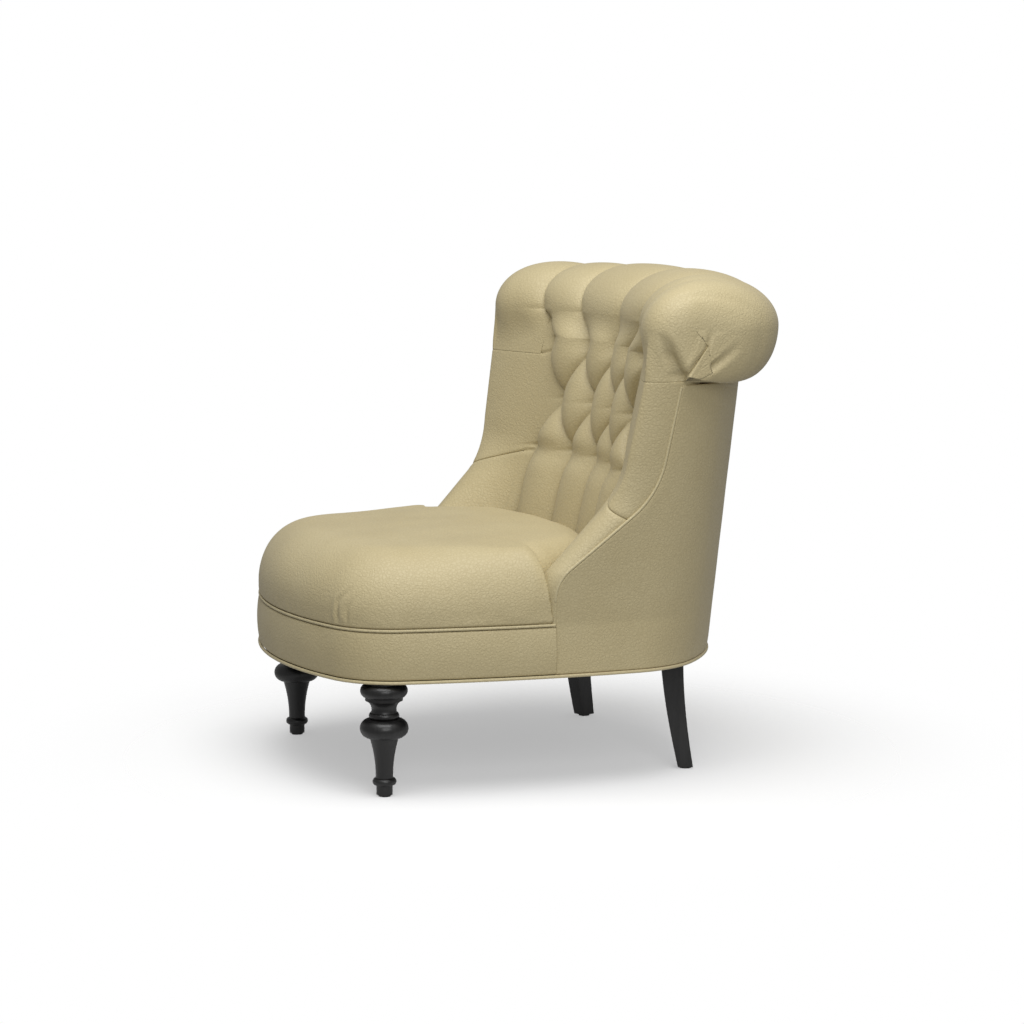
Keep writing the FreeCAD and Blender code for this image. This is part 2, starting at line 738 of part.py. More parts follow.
def inside_back():
    """Tufted cover, foam and webbing of the back, with the rails that carry them."""
    cover = loft([tufted_wire(*row) for row in back_rows()])
    keep(feature("tufted_panel", cover), "tufted_back")
    foam_front = sz.tuft_backing + sz.gap
    foam_rear = foam_front + sz.back_filling
    foam = bowed(sz.back_half, foam_front, foam_rear, deck, sz.wing_seam)
    keep(feature("back_filling", foam), "back_foam")

    straps = []
    web_front = foam_rear + sz.gap
    foot = sz.tacking_rail_level
    head = sz.wing_seam - sz.gap
    count = int(2 * sz.back_half / sz.back_strap_pitch)
    for index in range(count):
        x = (index - (count - 1) / 2) * sz.back_strap_pitch - sz.strap_width / 2
        sheet_solid = bowed(sz.back_half, web_front, web_front + sz.strap_thick, foot, head)
        straps.append(sheet_solid.common(Part.makeBox(sz.strap_width, 2 * far, far, V(x, -far, 0))))
    cross_front = web_front + sz.strap_thick + sz.gap
    rise = (head - foot) / count
    for index in range(count - 1):
        level = foot + (index + 1) * rise
        low = level - sz.strap_width / 2
        straps.append(bowed(sz.back_half, cross_front, cross_front + sz.strap_thick, low, low + sz.strap_width))
    keep(feature("back_straps", Part.makeCompound(straps)), "back_webbing")
    return foam_front, cross_front + sz.strap_thick + sz.gap


def cross_rails(frame_outside, web_rear):
    """The head rail under the roll and the tacking rail behind the seat."""
    foot = sz.wing_seam - sz.head_rail_height
    head = bowed(sz.back_half + sz.rail_width, web_rear, far, foot, sz.wing_seam)
    ends = Part.makeBox(far, far, sz.head_rail_height, V(-far / 2, sz.wing_rear + sz.gap, foot))
    inner = Part.makeBox(2 * (sz.back_half + sz.gap), far, far, V(-sz.back_half - sz.gap, 0, 0))
    head = ends.cut(inner).fuse(head.common(ends)).common(frame_outside.Shape).removeSplitter()
    keep(feature("head_rail_piece", head), "head_rail")
    low = sz.tacking_rail_level
    board = bowed(sz.half_width, web_rear, web_rear + sz.post_depth, low, low + sz.tacking_rail_height)
    behind_arms = Part.makeBox(2 * far, far, far, V(-far, sz.arm_rear + sz.gap, 0))
    keep(feature("tacking_rail_piece", board.common(frame_outside.Shape).common(behind_arms)), "tacking_rail")


# Arm and wing pads

def crown_lead(level):
    """How far the crown of the arm or wing stands ahead of the side edge."""
    share = min(1.0, max(0.0, (level - deck) / (sz.wing_full_level - deck)))
    return sz.arm_lead + (sz.wing_lead - sz.arm_lead) * math.sin(share * math.pi / 2) ** 2


def panel_flank(level):
    """Reach of the tufted panel's front at its sides."""
    rows = back_rows()
    amount = rows[-1][2]
    for (low, kind, low_amount), (high, kind, high_amount) in zip(rows, rows[1:]):
        if low <= level <= high:
            amount = low_amount + (high_amount - low_amount) * (level - low) / (high - low)
            break
    return back_folds(level) - hollow(sz.back_half) - sz.tuft_swell * FLANK_SHARE * amount


def pad_wire(side, level, inner, rear, inset):
    """Plan section of a pad: its inner face, the nose over its crown, its outer face and its rear."""
    width = half_width_at(level)
    edge = edge_reach(level)
    crown = edge - crown_lead(level) + inset
    crown_x = width - sz.nose_inset
    outer = width - sz.pad_inset - inset
    rim = edge - sz.gap + inset
    face = [(x + inset, y + inset) for x, y in inner]
    start_x, start = face[-1]
    over_in = ((start_x + crown_x) / 2 - (start - crown) / 6, crown + (start - crown) * 0.3)
    over_out = (outer - (outer - crown_x) * 0.22, crown + (rim - crown) * 0.42)
    rear = rear - inset
    face.insert(0, (sz.back_half + sz.gap + inset, rear))
    spots = face + [over_in, (crown_x, crown), over_out, (outer, rim), (outer, rear)]
    spots = [(side * x, y, level) for x, y in spots]
    count = len(face)
    edges = [line(a, b) for a, b in zip(spots[:count], spots[1:count])]
    edges.append(arc(spots[count - 1], spots[count], spots[count + 1]))
    edges.append(arc(spots[count + 1], spots[count + 2], spots[count + 3]))
    edges.append(line(spots[count + 3], spots[count + 4]))
    edges.append(line(spots[count + 4], spots[0]))
    return Part.Wire(edges)


def arm(side, inset, foot=0.0):
    """An arm pad: its inner face runs from its nose to the side of the tufted back."""
    top = sz.arm_seam - sz.gap / 2
    turn = sz.arm_level
    levels = [deck + foot, turn - 22, turn + 16, (turn + top) / 2 + 6, top - inset]
    wires = []
    for level in levels:
        front = edge_reach(level) - crown_lead(level) + sz.nose_round
        inner = [(sz.back_half + sz.gap, panel_flank(level)), (sz.arm_inside, front)]
        wires.append(pad_wire(side, level, inner, sz.arm_rear, inset))
    return loft(wires)


def wing(side, inset, foot=0.0):
    """A wing pad: its inner face runs from its crown to the side of the tufted back."""
    first = sz.arm_seam + sz.gap / 2
    last = sz.wing_seam - sz.gap / 2
    levels = [first + foot] + [first + (last - first) * k / 4 for k in (1, 2, 3)] + [last - inset]
    wires = []
    for level in levels:
        inner = [(sz.back_half + sz.gap, panel_flank(level))]
        wires.append(pad_wire(side, level, inner, sz.wing_rear, inset))
    return loft(wires)


def side_pads(frame_outside):
    """Foam and leather cover of each arm and wing, fitted round the edge of the side panel."""
    panel_room = behind_edge(sz.edge_setback - sz.gap, sz.base_level, sz.roll_top)
    panel_room = panel_room.cut(frame_outside.Shape)
    within = shell("within_covers", panel_inset).Shape
    for hand, side in (("left", -1), ("right", 1)):
        for name, make in (("arm", arm), ("wing", wing)):
            outer = make(side, 0.0).common(within).cut(panel_room)
            room = make(side, sz.leather, sz.leather)
            foam = make(side, sz.leather + sz.gap, sz.leather + sz.gap).common(within).cut(panel_room)
            keep(feature(f"{name}_skin_{hand}", outer.cut(room)), f"{name}_cover_{hand}")
            keep(feature(f"{name}_filling_{hand}", foam), f"{name}_foam_{hand}")


# Seat

def seat_outline(level, inset, share=1.0):
    """The plan of the seat at a level, drawn in by an inset and then together about its middle."""
    wire = outline(seat_seam, inset)
    wire.translate(V(0, 0, level - seat_seam))
    wire.scale(share, V(0, -sz.front_reach / 2, level))
    return wire


def dome(foot, inset, steps):
    """The seat's crowned body over the whole outline, drawn in by an inset."""
    shoulder = seat_foot + sz.seat_shoulder - inset
    crown = sz.seat_crown - inset
    deep = sz.front_corner * 0.8
    wires = [
        seat_outline(foot, inset),
        seat_outline((seat_foot + shoulder) / 2, inset - sz.cushion_swell),
        seat_outline(shoulder, inset + sz.cushion_swell),
    ]
    for step in range(1, steps + 1):
        turn = step * math.pi / 2 / steps
        level = shoulder + (crown - shoulder) * 0.92 * math.sin(turn)
        wires.append(seat_outline(level, inset + sz.cushion_swell + deep * (1 - math.cos(turn))))
    rim = inset + sz.cushion_swell + deep
    wires.append(seat_outline(crown - (crown - shoulder) * 0.02, rim, 0.55))
    wires.append(seat_outline(crown, rim, 0.1))
    return loft(wires)


def largest(shape):
    """The biggest of a shape's solids."""
    return max(shape.Solids, key=lambda solid: solid.Volume)


def seat():
    """Webbing, foam and leather cover of the seat, fitted between the arms and up to the back."""
    rows = [(deck - sz.strap_thick, "columns", back_rows()[0][2])] + back_rows()[1:3]
    half = sz.back_half + 2 * sz.gap
    taken = loft([
        bowed_wire(level, half, back_folds(level) - sz.tuft_swell * amount - sz.gap, far)
        for level, kind, amount in rows
    ])
    beside = sz.half_width - sz.nose_inset
    welt_lead = 2 * (sz.welt_radius + sz.gap)
    for side in (-1, 1):
        taken = taken.fuse(arm(side, -sz.gap, -sz.strap_thick + sz.gap))
        for inner, lead in ((beside, sz.gap), (sz.half_width - sz.pad_inset, welt_lead)):
            x = inner if side > 0 else -far
            taken = taken.fuse(Part.makeBox(far - inner, far, far, V(x, -sz.seam_lead - lead, 0)))
    outer = dome(seat_foot, 0.0, 4)
    room = dome(deck - sz.strap_thick, sz.leather, 3)
    foam = dome(deck, sz.leather + sz.gap, 3)
    keep(feature("seat_skin", largest(outer.cut(room).cut(taken))), "seat_cover")
    keep(feature("seat_filling", largest(foam.cut(taken))), "seat_foam")

    straps = []
    reach = loft([outline(level, frame_inset + sz.post_depth + sz.gap) for level in (rail_top, deck)])
    count = int(2 * (sz.half_width - frame_inset) / sz.seat_strap_pitch) - 1
    for index in range(count):
        shift = (index - (count - 1) / 2) * sz.seat_strap_pitch
        low = Part.makeBox(sz.strap_width, 2 * far, sz.strap_thick)
        low.translate(V(shift - sz.strap_width / 2, -far, rail_top))
        straps.append(reach.common(low))
        high = Part.makeBox(2 * far, sz.strap_width, sz.strap_thick)
        middle = (sz.rear_reach - sz.front_reach) / 2
        high.translate(V(-far, shift + middle - sz.strap_width / 2, rail_top + sz.strap_thick))
        straps.append(reach.common(high))
    keep(feature("seat_straps", Part.makeCompound(straps)), "seat_webbing")


# Leather round the base and the outside

def apron():
    """The padded band under the seat, from side seam to side seam round the front."""
    top = seat_seam - sz.welt_radius - sz.gap
    wires = []
    for step in range(5):
        level = apron_foot + (top - apron_foot) * step / 4
        wires.append(outline(level, -sz.apron_bulge * arch(step / 4)))
    inner = shell("apron_room", frame_inset - sz.gap)
    front = Part.makeBox(2 * far, far, far, V(-far, -far - sz.seam_lead - sz.gap, 0))
    band = loft(wires).common(front).cut(inner.Shape)
    keep(feature("apron_band", band), "apron_cover")


def outside_covers():
    """Leather over the bent panels, sewn from three pieces at the back."""
    ring = shell("covers_outside", 0.0).Shape.cut(shell("covers_inside", sz.leather).Shape)
    ring = ring.common(behind_edge(0.0, apron_foot, sz.shell_top))
    split_sides(feature("cover_ring", ring), ("outside_left", "outside_back", "outside_right"))


def pipe(edges):
    """A welt along joined edges, its round drawn with six sides."""
    path = Part.Wire(edges)
    start = path.Edges[0]
    tangent = start.tangentAt(start.FirstParameter)
    spot = start.valueAt(start.FirstParameter)
    ring = Part.makeCircle(sz.welt_radius, spot, tangent)
    corners = [ring.valueAt(turn * math.pi / 3) for turn in range(6)]
    return path.makePipeShell([Part.makePolygon(corners + corners[:1])], True, True)


def welts():
    """Piped welts: round the foot of the covers, under the seat, and up each side edge."""
    keep(feature("foot_welt", pipe(outline(sz.base_level).Edges)), "bottom_welt")

    arcs = outline_arcs(seat_seam)
    centre, radius, start, end = arcs[2]
    seam = math.asin((-sz.seam_lead - sz.gap - centre[1]) / radius)
    arcs[2] = (centre, radius, start, seam)
    front, right, left, half, other = outline_edges(seat_seam, 0.0, arcs)
    keep(feature("seat_piping", pipe(left[1:] + [front] + right[:2])), "seat_welt")

    setback = -sz.welt_radius - sz.gap
    foot = sz.arm_level - sz.arm_bend * 0.55
    corners, bends = edge_corners(setback, foot, sz.shell_top - sz.welt_radius)
    for hand, side in (("left", -1), ("right", 1)):
        spots = []
        for reach, level in corners:
            bow = (reach - sz.widest_reach) ** 2 / (2 * sz.side_bow)
            x = half_width_at(level) - bow - sz.leather / 2
            spots.append(V(side * x, reach, level))
        keep(feature(f"edge_piping_{hand}", pipe(rounded(spots, bends))), f"wing_welt_{hand}")


def dust_cloth():
    """The cloth under the rails, cut out round the legs."""
    foot = sz.base_level - sz.gap - sz.cloth_thick
    wire = outline(sz.base_level, 2 * sz.welt_radius)
    wire.translate(V(0, 0, foot - sz.base_level))
    cloth = Part.Face(wire).extrude(V(0, 0, sz.cloth_thick))
    room = sz.rear_leg_top + 2 * sz.gap
    for side in (-1, 1):
        spot = V(side * sz.front_leg_side, -sz.front_leg_lead, 0)
        cloth = cloth.cut(Part.makeCylinder(sz.plinth_radius + sz.gap, sz.base_level, spot))
        hole = Part.makeBox(room, room, sz.base_level, V(-room / 2, -room / 2, 0))
        hole.rotate(V(0, 0, 0), V(0, 0, -side), sz.rear_leg_turn)
        hole.translate(V(side * sz.rear_leg_side, sz.rear_leg_reach, 0))
        cloth = cloth.cut(hole)
    keep(feature("cloth_sheet", cloth), "dust_cloth")


# Head roll

def roll_sag(x):
    """How far the roll comes forward beside its middle."""
    return sz.roll_sweep - math.sqrt(sz.roll_sweep**2 - x * x)


def roll_wire(x, inset, pinch, foot):
    """Side view section of the roll: flat under, upright in front, round over the crest and behind."""
    front = sz.roll_front - roll_sag(x) + inset + pinch
    rear = sz.roll_rear - roll_sag(x) - inset
    top = sz.roll_top - inset - pinch
    crest = sz.roll_front + sz.roll_nose - roll_sag(x)
    middle = sz.roll_middle
    under = rear - (sz.roll_middle - roll_underside) * 0.78
    bulge = math.sqrt(0.5)
    over = [
        (crest - (crest - front) * bulge, middle + (top - middle) * bulge),
        (crest + (rear - crest) * bulge, middle + (top - middle) * bulge),
        (under + (rear - under) * bulge, middle - (middle - foot) * bulge),
    ]
    spots = [(front, foot), (front, middle), (crest, top), (rear, middle), (under, foot)]
    low, a, b, c, d = [(x, y, z) for y, z in spots]
    over_a, over_b, over_c = [(x, y, z) for y, z in over]
    return Part.Wire([line(low, a), arc(a, over_a, b), arc(b, over_b, c), arc(c, over_c, d), line(d, low)])


def end_round(x, half):
    """How far the roll is drawn in near its ends, along a quarter circle."""
    over = min(1.0, max(0.0, (abs(x) - half + sz.roll_end_round) / sz.roll_end_round))
    return sz.roll_end_round * (1 - math.sqrt(1 - over * over))


def roll_body(inset, foot, pleat):
    """The roll, drawn in by an inset, with pleats in line with the tufts below."""
    half = sz.roll_half - inset
    last = (sz.tufts_across - 1) / 2 * sz.tuft_pitch
    plain = half - sz.roll_end_round
    tail = [plain] + [plain + sz.roll_end_round * share for share in (0.5, 0.85, 1.0)]
    if pleat:
        shares = (0.0, 0.12, 0.5, 0.88)
        count = int(sz.tufts_across - 1) // 2
        middle = [(k + share) * sz.tuft_pitch for k in range(count) for share in shares]
        stations = middle + [last, last + 0.12 * sz.tuft_pitch] + tail
    else:
        stations = [0.0, last / 2, last, plain, half]
    stations = [-x for x in reversed(stations[1:])] + stations
    wires = []
    for x in stations:
        near = min(abs(abs(x) - k * sz.tuft_pitch) for k in range(int(sz.tufts_across + 1) // 2))
        pinch = pleat * math.exp(-near / sz.roll_pleat)
        drawn_in = inset + end_round(x, half)
        wires.append(roll_wire(x, drawn_in, pinch, foot + end_round(x, half) * 0.4))
    return loft(wires)


def head_roll(foam_front):
    """Pleated leather cover, foam core and plywood formers of the roll."""
    clear = sz.gap
    seat_of_roll = sz.wing_seam + clear
    within = loft([outline(level, -clear) for level in (sz.wing_seam - sz.rail_height, seat_of_roll)])
    rows = [(sz.wing_seam - clear, "", 0), (sz.back_top + clear, "", 0)]
    panel_room = loft([
        bowed_wire(level, sz.back_half + clear, back_folds(level) - sz.tuft_swell * 2,
                   back_folds(level) + foam_front)
        for level, kind, amount in rows
    ])
    cover = roll_body(0.0, roll_underside, sz.roll_pleat)
    cover = cover.cut(roll_body(sz.roll_padding, seat_of_roll - clear, 0.0)).cut(within).cut(panel_room)
    keep(feature("roll_skin", largest(cover)), "roll_cover")

    core_inset = sz.roll_padding + clear
    core = roll_body(core_inset, sz.wing_seam, 0.0)
    formers = {}
    for name, x in (("left", -sz.former_side), ("middle", 0.0), ("right", sz.former_side)):
        low = x - sz.former_thick / 2
        slab = Part.makeBox(sz.former_thick, 2 * far, 2 * far, V(low, -far, 0))
        former = largest(core.common(slab).cut(panel_room))
        keep(feature(f"former_{name}_board", former), f"roll_former_{name}")
        room = Part.makeBox(sz.former_thick + 2 * clear, 2 * far, 2 * far, V(low - clear, -far, 0))
        formers[name] = room
    core = core.cut(panel_room)
    for room in formers.values():
        core = core.cut(room)
    keep(feature("roll_filling", core), "roll_foam")


# The whole chair

def legs():
    """Four legs with their nylon glides, drilled for the bolts."""
    glides = []
    for hand, side in (("left", -1), ("right", 1)):
        turned = turned_leg(f"turned_{hand}", side)
        sabre = sabre_leg(f"sabre_{hand}", side)
        for end, body in (("front", turned), ("rear", sabre)):
            bore = doc.getObject(f"hole_{end}_{hand}")
            keep(boolean("Cut", f"leg_{end}_{hand}_drilled", body, bore), f"{end}_leg_{hand}")
        glides.append(cylinder(f"glide_front_{hand}", "glide_radius", f"{side} * front_leg_side",
                               "-front_leg_lead", "0", "glide_height"))
        kick_x = f"{side} * (rear_leg_side + rear_leg_kick * sin(rear_leg_turn))"
        kick_y = "rear_leg_reach + rear_leg_kick * cos(rear_leg_turn)"
        glides.append(cylinder(f"glide_rear_{hand}", "glide_radius", kick_x, kick_y, "0", "glide_height"))
    keep(group("glides", glides), "floor_glides")


def build():
    """Makes every sub-part."""
    frame_outside = frame()
    legs()
    bent_panels()
    foam_front, web_rear = inside_back()
    cross_rails(frame_outside, web_rear)
    side_pads(frame_outside)
    seat()
    apron()
    outside_covers()
    welts()
    dust_cloth()
    head_roll(foam_front)


build()
doc.recompute()

for obj in doc.Objects:
    if "Invalid" in obj.State or "Error" in obj.State:
        raise RuntimeError(f"{obj.Name} failed: {obj.State}")
os.makedirs("parts", exist_ok=True)
for name, obj in parts.items():
    shape = obj.Shape
    if shape.isNull() or not shape.isValid() or not shape.Solids:
        raise RuntimeError(f"{name} has no valid solid")
    shape.exportStep(f"parts/{name}.step")
    print(f"{name}: {len(shape.Solids)} solids, {shape.Volume / 1000:.0f} cm3")
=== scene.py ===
import json
import math

import bpy
import bmesh
import numpy as np
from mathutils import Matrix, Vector


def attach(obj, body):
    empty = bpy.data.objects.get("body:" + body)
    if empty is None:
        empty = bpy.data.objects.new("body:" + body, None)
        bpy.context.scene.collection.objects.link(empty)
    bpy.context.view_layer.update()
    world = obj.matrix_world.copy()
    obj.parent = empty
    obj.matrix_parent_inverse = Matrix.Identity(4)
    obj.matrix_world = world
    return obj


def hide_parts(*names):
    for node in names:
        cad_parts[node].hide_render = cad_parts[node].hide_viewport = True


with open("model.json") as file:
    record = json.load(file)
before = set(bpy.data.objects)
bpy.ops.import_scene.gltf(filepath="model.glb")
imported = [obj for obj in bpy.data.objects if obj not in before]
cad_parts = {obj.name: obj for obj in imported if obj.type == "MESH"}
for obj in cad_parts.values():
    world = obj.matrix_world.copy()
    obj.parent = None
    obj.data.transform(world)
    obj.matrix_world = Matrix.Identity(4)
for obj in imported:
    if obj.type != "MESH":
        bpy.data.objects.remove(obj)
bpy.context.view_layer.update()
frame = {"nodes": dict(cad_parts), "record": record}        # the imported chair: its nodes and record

print("frame loaded")

# Everything is in metres: +Z up, the front of the chair faces -Y, x = 0 is its middle plane.
# Levels are heights above the floor, reaches are distances behind the origin.

# The plan outline, at the base and, where it says Top, under the roll.
shellShape = {
    "frontReach": 0.434, "rearReach": 0.334, "rearReachTop": 0.381,
    "halfWidth": 0.337, "halfWidthTop": 0.387, "widestReach": 0.060,
    "frontBow": 0.613, "frontCorner": 0.130, "sideBow": 1.815,
    "rearCorner": 0.171, "rearCornerTop": 0.150, "backBow": 0.406, "backBowTop": 0.504,
    "baseLevel": 0.194, "seatSeam": 0.2793, "shellTop": 0.671,
}

# The side edge: upright ahead of the arm, back over the arm, up the wing.
edgeShape = {
    "seamReach": -0.046, "armLevel": 0.352, "armBend": 0.060,
    "wingReach": 0.125, "wingLevel": 0.490, "wingBend": 0.150, "wingTopReach": 0.156,
}


# The gap between neighbouring pieces, the room a welt takes beside a cover, and how far ahead the band ends.
clearance = 0.0003
weltRoom = 0.0033
bandLead = clearance - edgeShape["seamReach"]

# Points closer than this are one point.
weldDistance = 2e-6


# Grids and meshes

def smoothStep(value, low, high):
    # 0 below low, 1 above high, and 3t^2 - 2t^3 between them.
    t = np.clip((value - low) / (high - low), 0.0, 1.0)
    return t * t * (3 - 2 * t)


def between(a, b, share):
    # The value at a share of the way from a to b: a + share (b - a).
    return a + share * (b - a)


def quarter(share):
    # A quarter circle that rises from 0 to 1: 1 - sqrt(1 - share^2), its share kept from 0 to 1.
    return 1 - np.sqrt(1 - np.clip(share, 0.0, 1.0) ** 2)


def pointsOf(x, y, z):
    # Points from their coordinates, which are spread over one another.
    return np.stack(np.broadcast_arrays(x, y, z), -1)


def unit(vectors):
    # Vectors brought to length 1.
    return vectors / np.maximum(np.linalg.norm(vectors, axis=-1, keepdims=True), 1e-12)


def ridge(distance, width):
    # A rounded ridge of height 1: exp(-(distance / width)^2).
    return np.exp(-((distance / width) ** 2))


def uneven(points, seed, low, high, count=14):
    # Soft unevenness between about -1 and 1: the mean of sines of k . p + phase, scaled up.
    # Each k has a random direction, and a length of one turn over a wavelength from low to high.
    draw = np.random.default_rng(seed)
    turn = draw.uniform(0, 2 * math.pi, count)
    tilt = draw.uniform(-1, 1, count)
    flat = np.sqrt(1 - tilt ** 2)
    length = draw.uniform(low, high, count)
    vectors = np.stack([flat * np.cos(turn), flat * np.sin(turn), tilt], 1)
    vectors = vectors * (2 * math.pi / length)[:, None]
    phases = draw.uniform(0, 2 * math.pi, count)
    return np.sin(points @ vectors.T + phases).sum(-1) * (1.4 / count)


def surfaceNormals(grid):
    # Unit normals of a wrapped grid: the cross product of its steps along the columns and the rows.
    across = np.roll(grid, -1, 1) - np.roll(grid, 1, 1)
    return unit(np.cross(across, np.gradient(grid, axis=0)))


def placed(name, data):
    # A new object in the scene.
    thing = bpy.data.objects.new(name, data)
    bpy.context.scene.collection.objects.link(thing)
    return thing


def makePiece(name, grid):
    # A mesh over a wrapped grid of points. Its last column joins the first, and its end rows are each one
    # point or fold flat, so that welding closes them.
    rows, columns = grid.shape[:2]
    index = np.arange(rows * columns).reshape(rows, columns)
    right = np.roll(index, -1, 1)
    quads = np.stack([index[:-1], right[:-1], right[1:], index[1:]], -1).reshape(-1, 4)
    mesh = bpy.data.meshes.new(name)
    mesh.vertices.add(rows * columns)
    mesh.vertices.foreach_set("co", grid.astype(np.float32).ravel())
    mesh.loops.add(quads.size)
    mesh.loops.foreach_set("vertex_index", quads.astype(np.int32).ravel())
    mesh.polygons.add(len(quads))
    mesh.polygons.foreach_set("loop_start", np.arange(0, quads.size, 4, dtype=np.int32))
    mesh.update(calc_edges=True)
    shape = bmesh.new()
    shape.from_mesh(mesh)
    bmesh.ops.remove_doubles(shape, verts=shape.verts, dist=weldDistance)
    bmesh.ops.recalc_face_normals(shape, faces=shape.faces)
    for face in shape.faces:
        face.smooth = True
    shape.to_mesh(mesh)
    shape.free()
    return placed(name, mesh)


def addPiece(name, grid, slot, nodes):
    # Makes a piece in its slot's material and puts it on the chair in place of its plain nodes.
    piece = makePiece(name, grid)
    piece.data.materials.append(nodeMaterials[slot])
    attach(piece, "root")
    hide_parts(*nodes)
    return piece


def bezier(a, b, c, d, t):
    # Cubic curve: (1-t)^3 a + 3(1-t)^2 t b + 3(1-t) t^2 c + t^3 d.
    s = 1 - t
    return s ** 3 * a + 3 * s * s * t * b + 3 * s * t * t * c + t ** 3 * d


# The plan outline: tangent arcs that widen with height

def halfWidthAt(level):
    # Half width: upright to the seat's seam, then flaring evenly to the top.
    c = shellShape
    flare = np.maximum(0.0, (level - c["seatSeam"]) / (c["shellTop"] - c["seatSeam"]))
    return between(c["halfWidth"], c["halfWidthTop"], flare)


def circleMeeting(ay, ar, bx, by, br, rearmost):
    # Where a circle about (0, ay) meets one about (bx, by): the foremost or the rearmost point.
    dy = by - ay
    apart = np.hypot(bx, dy)
    along = (ar ** 2 - br ** 2 + apart ** 2) / (2 * apart)
    aside = np.sqrt(ar ** 2 - along ** 2)
    middleX = bx * along / apart
    middleY = ay + dy * along / apart
    offX = dy * aside / apart
    offY = bx * aside / apart
    pick = (middleY + offY > middleY - offY) == rearmost
    return np.where(pick, middleX - offX, middleX + offX), np.where(pick, middleY + offY, middleY - offY)


def outlineArcs(level):
    # Centres, radii and turning angles of the right half's five arcs at each level.
    c = shellShape
    level = np.asarray(level, float)
    rise = (level - c["baseLevel"]) / (c["shellTop"] - c["baseLevel"])
    rear = between(c["rearReach"], c["rearReachTop"], rise)
    corner = between(c["rearCorner"], c["rearCornerTop"], rise)
    back = between(c["backBow"], c["backBowTop"], rise)
    sideX = halfWidthAt(level) - c["sideBow"]
    frontY = c["frontBow"] - c["frontReach"]
    backY = rear - back
    frontCornerX, frontCornerY = circleMeeting(
        frontY, c["frontBow"] - c["frontCorner"],
        sideX, c["widestReach"], c["sideBow"] - c["frontCorner"], False)
    rearCornerX, rearCornerY = circleMeeting(
        backY, back - corner, sideX, c["widestReach"], c["sideBow"] - corner, True)
    zero = np.zeros_like(level)
    centreX = np.stack([zero, frontCornerX, sideX, rearCornerX, zero])
    centreY = np.stack([zero + frontY, frontCornerY, zero + c["widestReach"], rearCornerY, backY])
    radii = np.stack([zero + c["frontBow"], zero + c["frontCorner"], zero + c["sideBow"], corner, back])
    turns = np.stack([
        zero - math.pi / 2,
        np.arctan2(frontCornerY - frontY, frontCornerX),
        np.arctan2(frontCornerY - c["widestReach"], frontCornerX - sideX),
        np.arctan2(rearCornerY - c["widestReach"], rearCornerX - sideX),
        np.arctan2(rearCornerY - backY, rearCornerX),
        zero + math.pi / 2,
    ])
    return centreX, centreY, radii, turns


seamArcs = outlineArcs(shellShape["seatSeam"])
arcLengths = seamArcs[2] * np.diff(seamArcs[3])
shares = np.concatenate([[0.0], np.cumsum(arcLengths)]) / arcLengths.sum()
halfLength = float(arcLengths.sum())


def outlineAt(s, level, inset=0.0):
    # Point (x, y) of the outline. s runs from 0 at the front middle to 1 (right) or -1 (left) at the rear.
    s, level, inset = np.broadcast_arrays(*(np.asarray(value, float) for value in (s, level, inset)))
    centreX, centreY, radii, turns = outlineArcs(level)
    u = np.abs(s)
    k = np.clip(np.searchsorted(shares, u, side="right") - 1, 0, 4)

    def take(stack):
        return np.take_along_axis(stack, k[None], 0)[0]

    share = (u - shares[k]) / (shares[k + 1] - shares[k])
    turn = between(take(turns[:-1]), take(turns[1:]), share)
    reach = take(radii) - inset
    side = np.where(s < 0, -1.0, 1.0)
    return side * (take(centreX) + reach * np.cos(turn)), take(centreY) + reach * np.sin(turn)


def shareAt(reach, level):
    # s of the outline point on the side at a reach.
    # The side arc's angle there is asin((reach - widestReach) / sideBow).
    turns = outlineArcs(level)[3]
    turn = np.arcsin((reach - shellShape["widestReach"]) / shellShape["sideBow"])
    share = (turn - turns[2]) / (turns[3] - turns[2])
    return between(shares[2], shares[3], share)


# The side edge seen from the side: upright, back over the arm, up the wing

def roundedPath(corners, bends, steps=24):
    # Straight runs joined by tangent arcs of the given radii at the inner corners.
    points = [corners[0]]
    for before, here, after, bend in zip(corners, corners[1:], corners[2:], bends):
        back = unit(before - here)
        ahead = unit(after - here)
        half = math.acos(float(back @ ahead)) / 2
        centre = here + unit(back + ahead) * bend / math.sin(half)
        start = here + back * bend / math.tan(half) - centre
        end = here + ahead * bend / math.tan(half) - centre
        sweep = math.pi - 2 * half
        t = np.linspace(0, 1, steps)[:, None]
        points.extend(centre + (np.sin((1 - t) * sweep) * start + np.sin(t * sweep) * end) / math.sin(sweep))
    points.append(corners[-1])
    return np.array(points)


def edgeCorners(setback, foot, top):
    # Corners (reach, level) of the side edge, moved back parallel to itself by a setback.
    e = edgeShape
    lean = (e["wingTopReach"] - e["wingReach"]) / (shellShape["shellTop"] - e["wingLevel"])
    line = np.array([
        (e["seamReach"], foot), (e["seamReach"], e["armLevel"]), (e["wingReach"], e["wingLevel"]),
        (e["wingReach"] + lean * (top - e["wingLevel"]), top)])
    steps = np.diff(line, axis=0)
    normals = unit(np.stack([steps[:, 1], -steps[:, 0]], 1))
    before = np.vstack([normals[:1], normals])
    after = np.vstack([normals, normals[-1:]])
    share = setback / (1 + (before * after).sum(1))
    return line + (before + after) * share[:, None], [e["armBend"] - setback, e["wingBend"] + setback]


edgeCurve = roundedPath(*edgeCorners(0.0, 0.0, 1.0))


def edgeReach(level):
    # Reach of the side edge at a level.
    return np.interp(level, edgeCurve[:, 1], edgeCurve[:, 0])


print("outline and side edge worked out")


# Materials

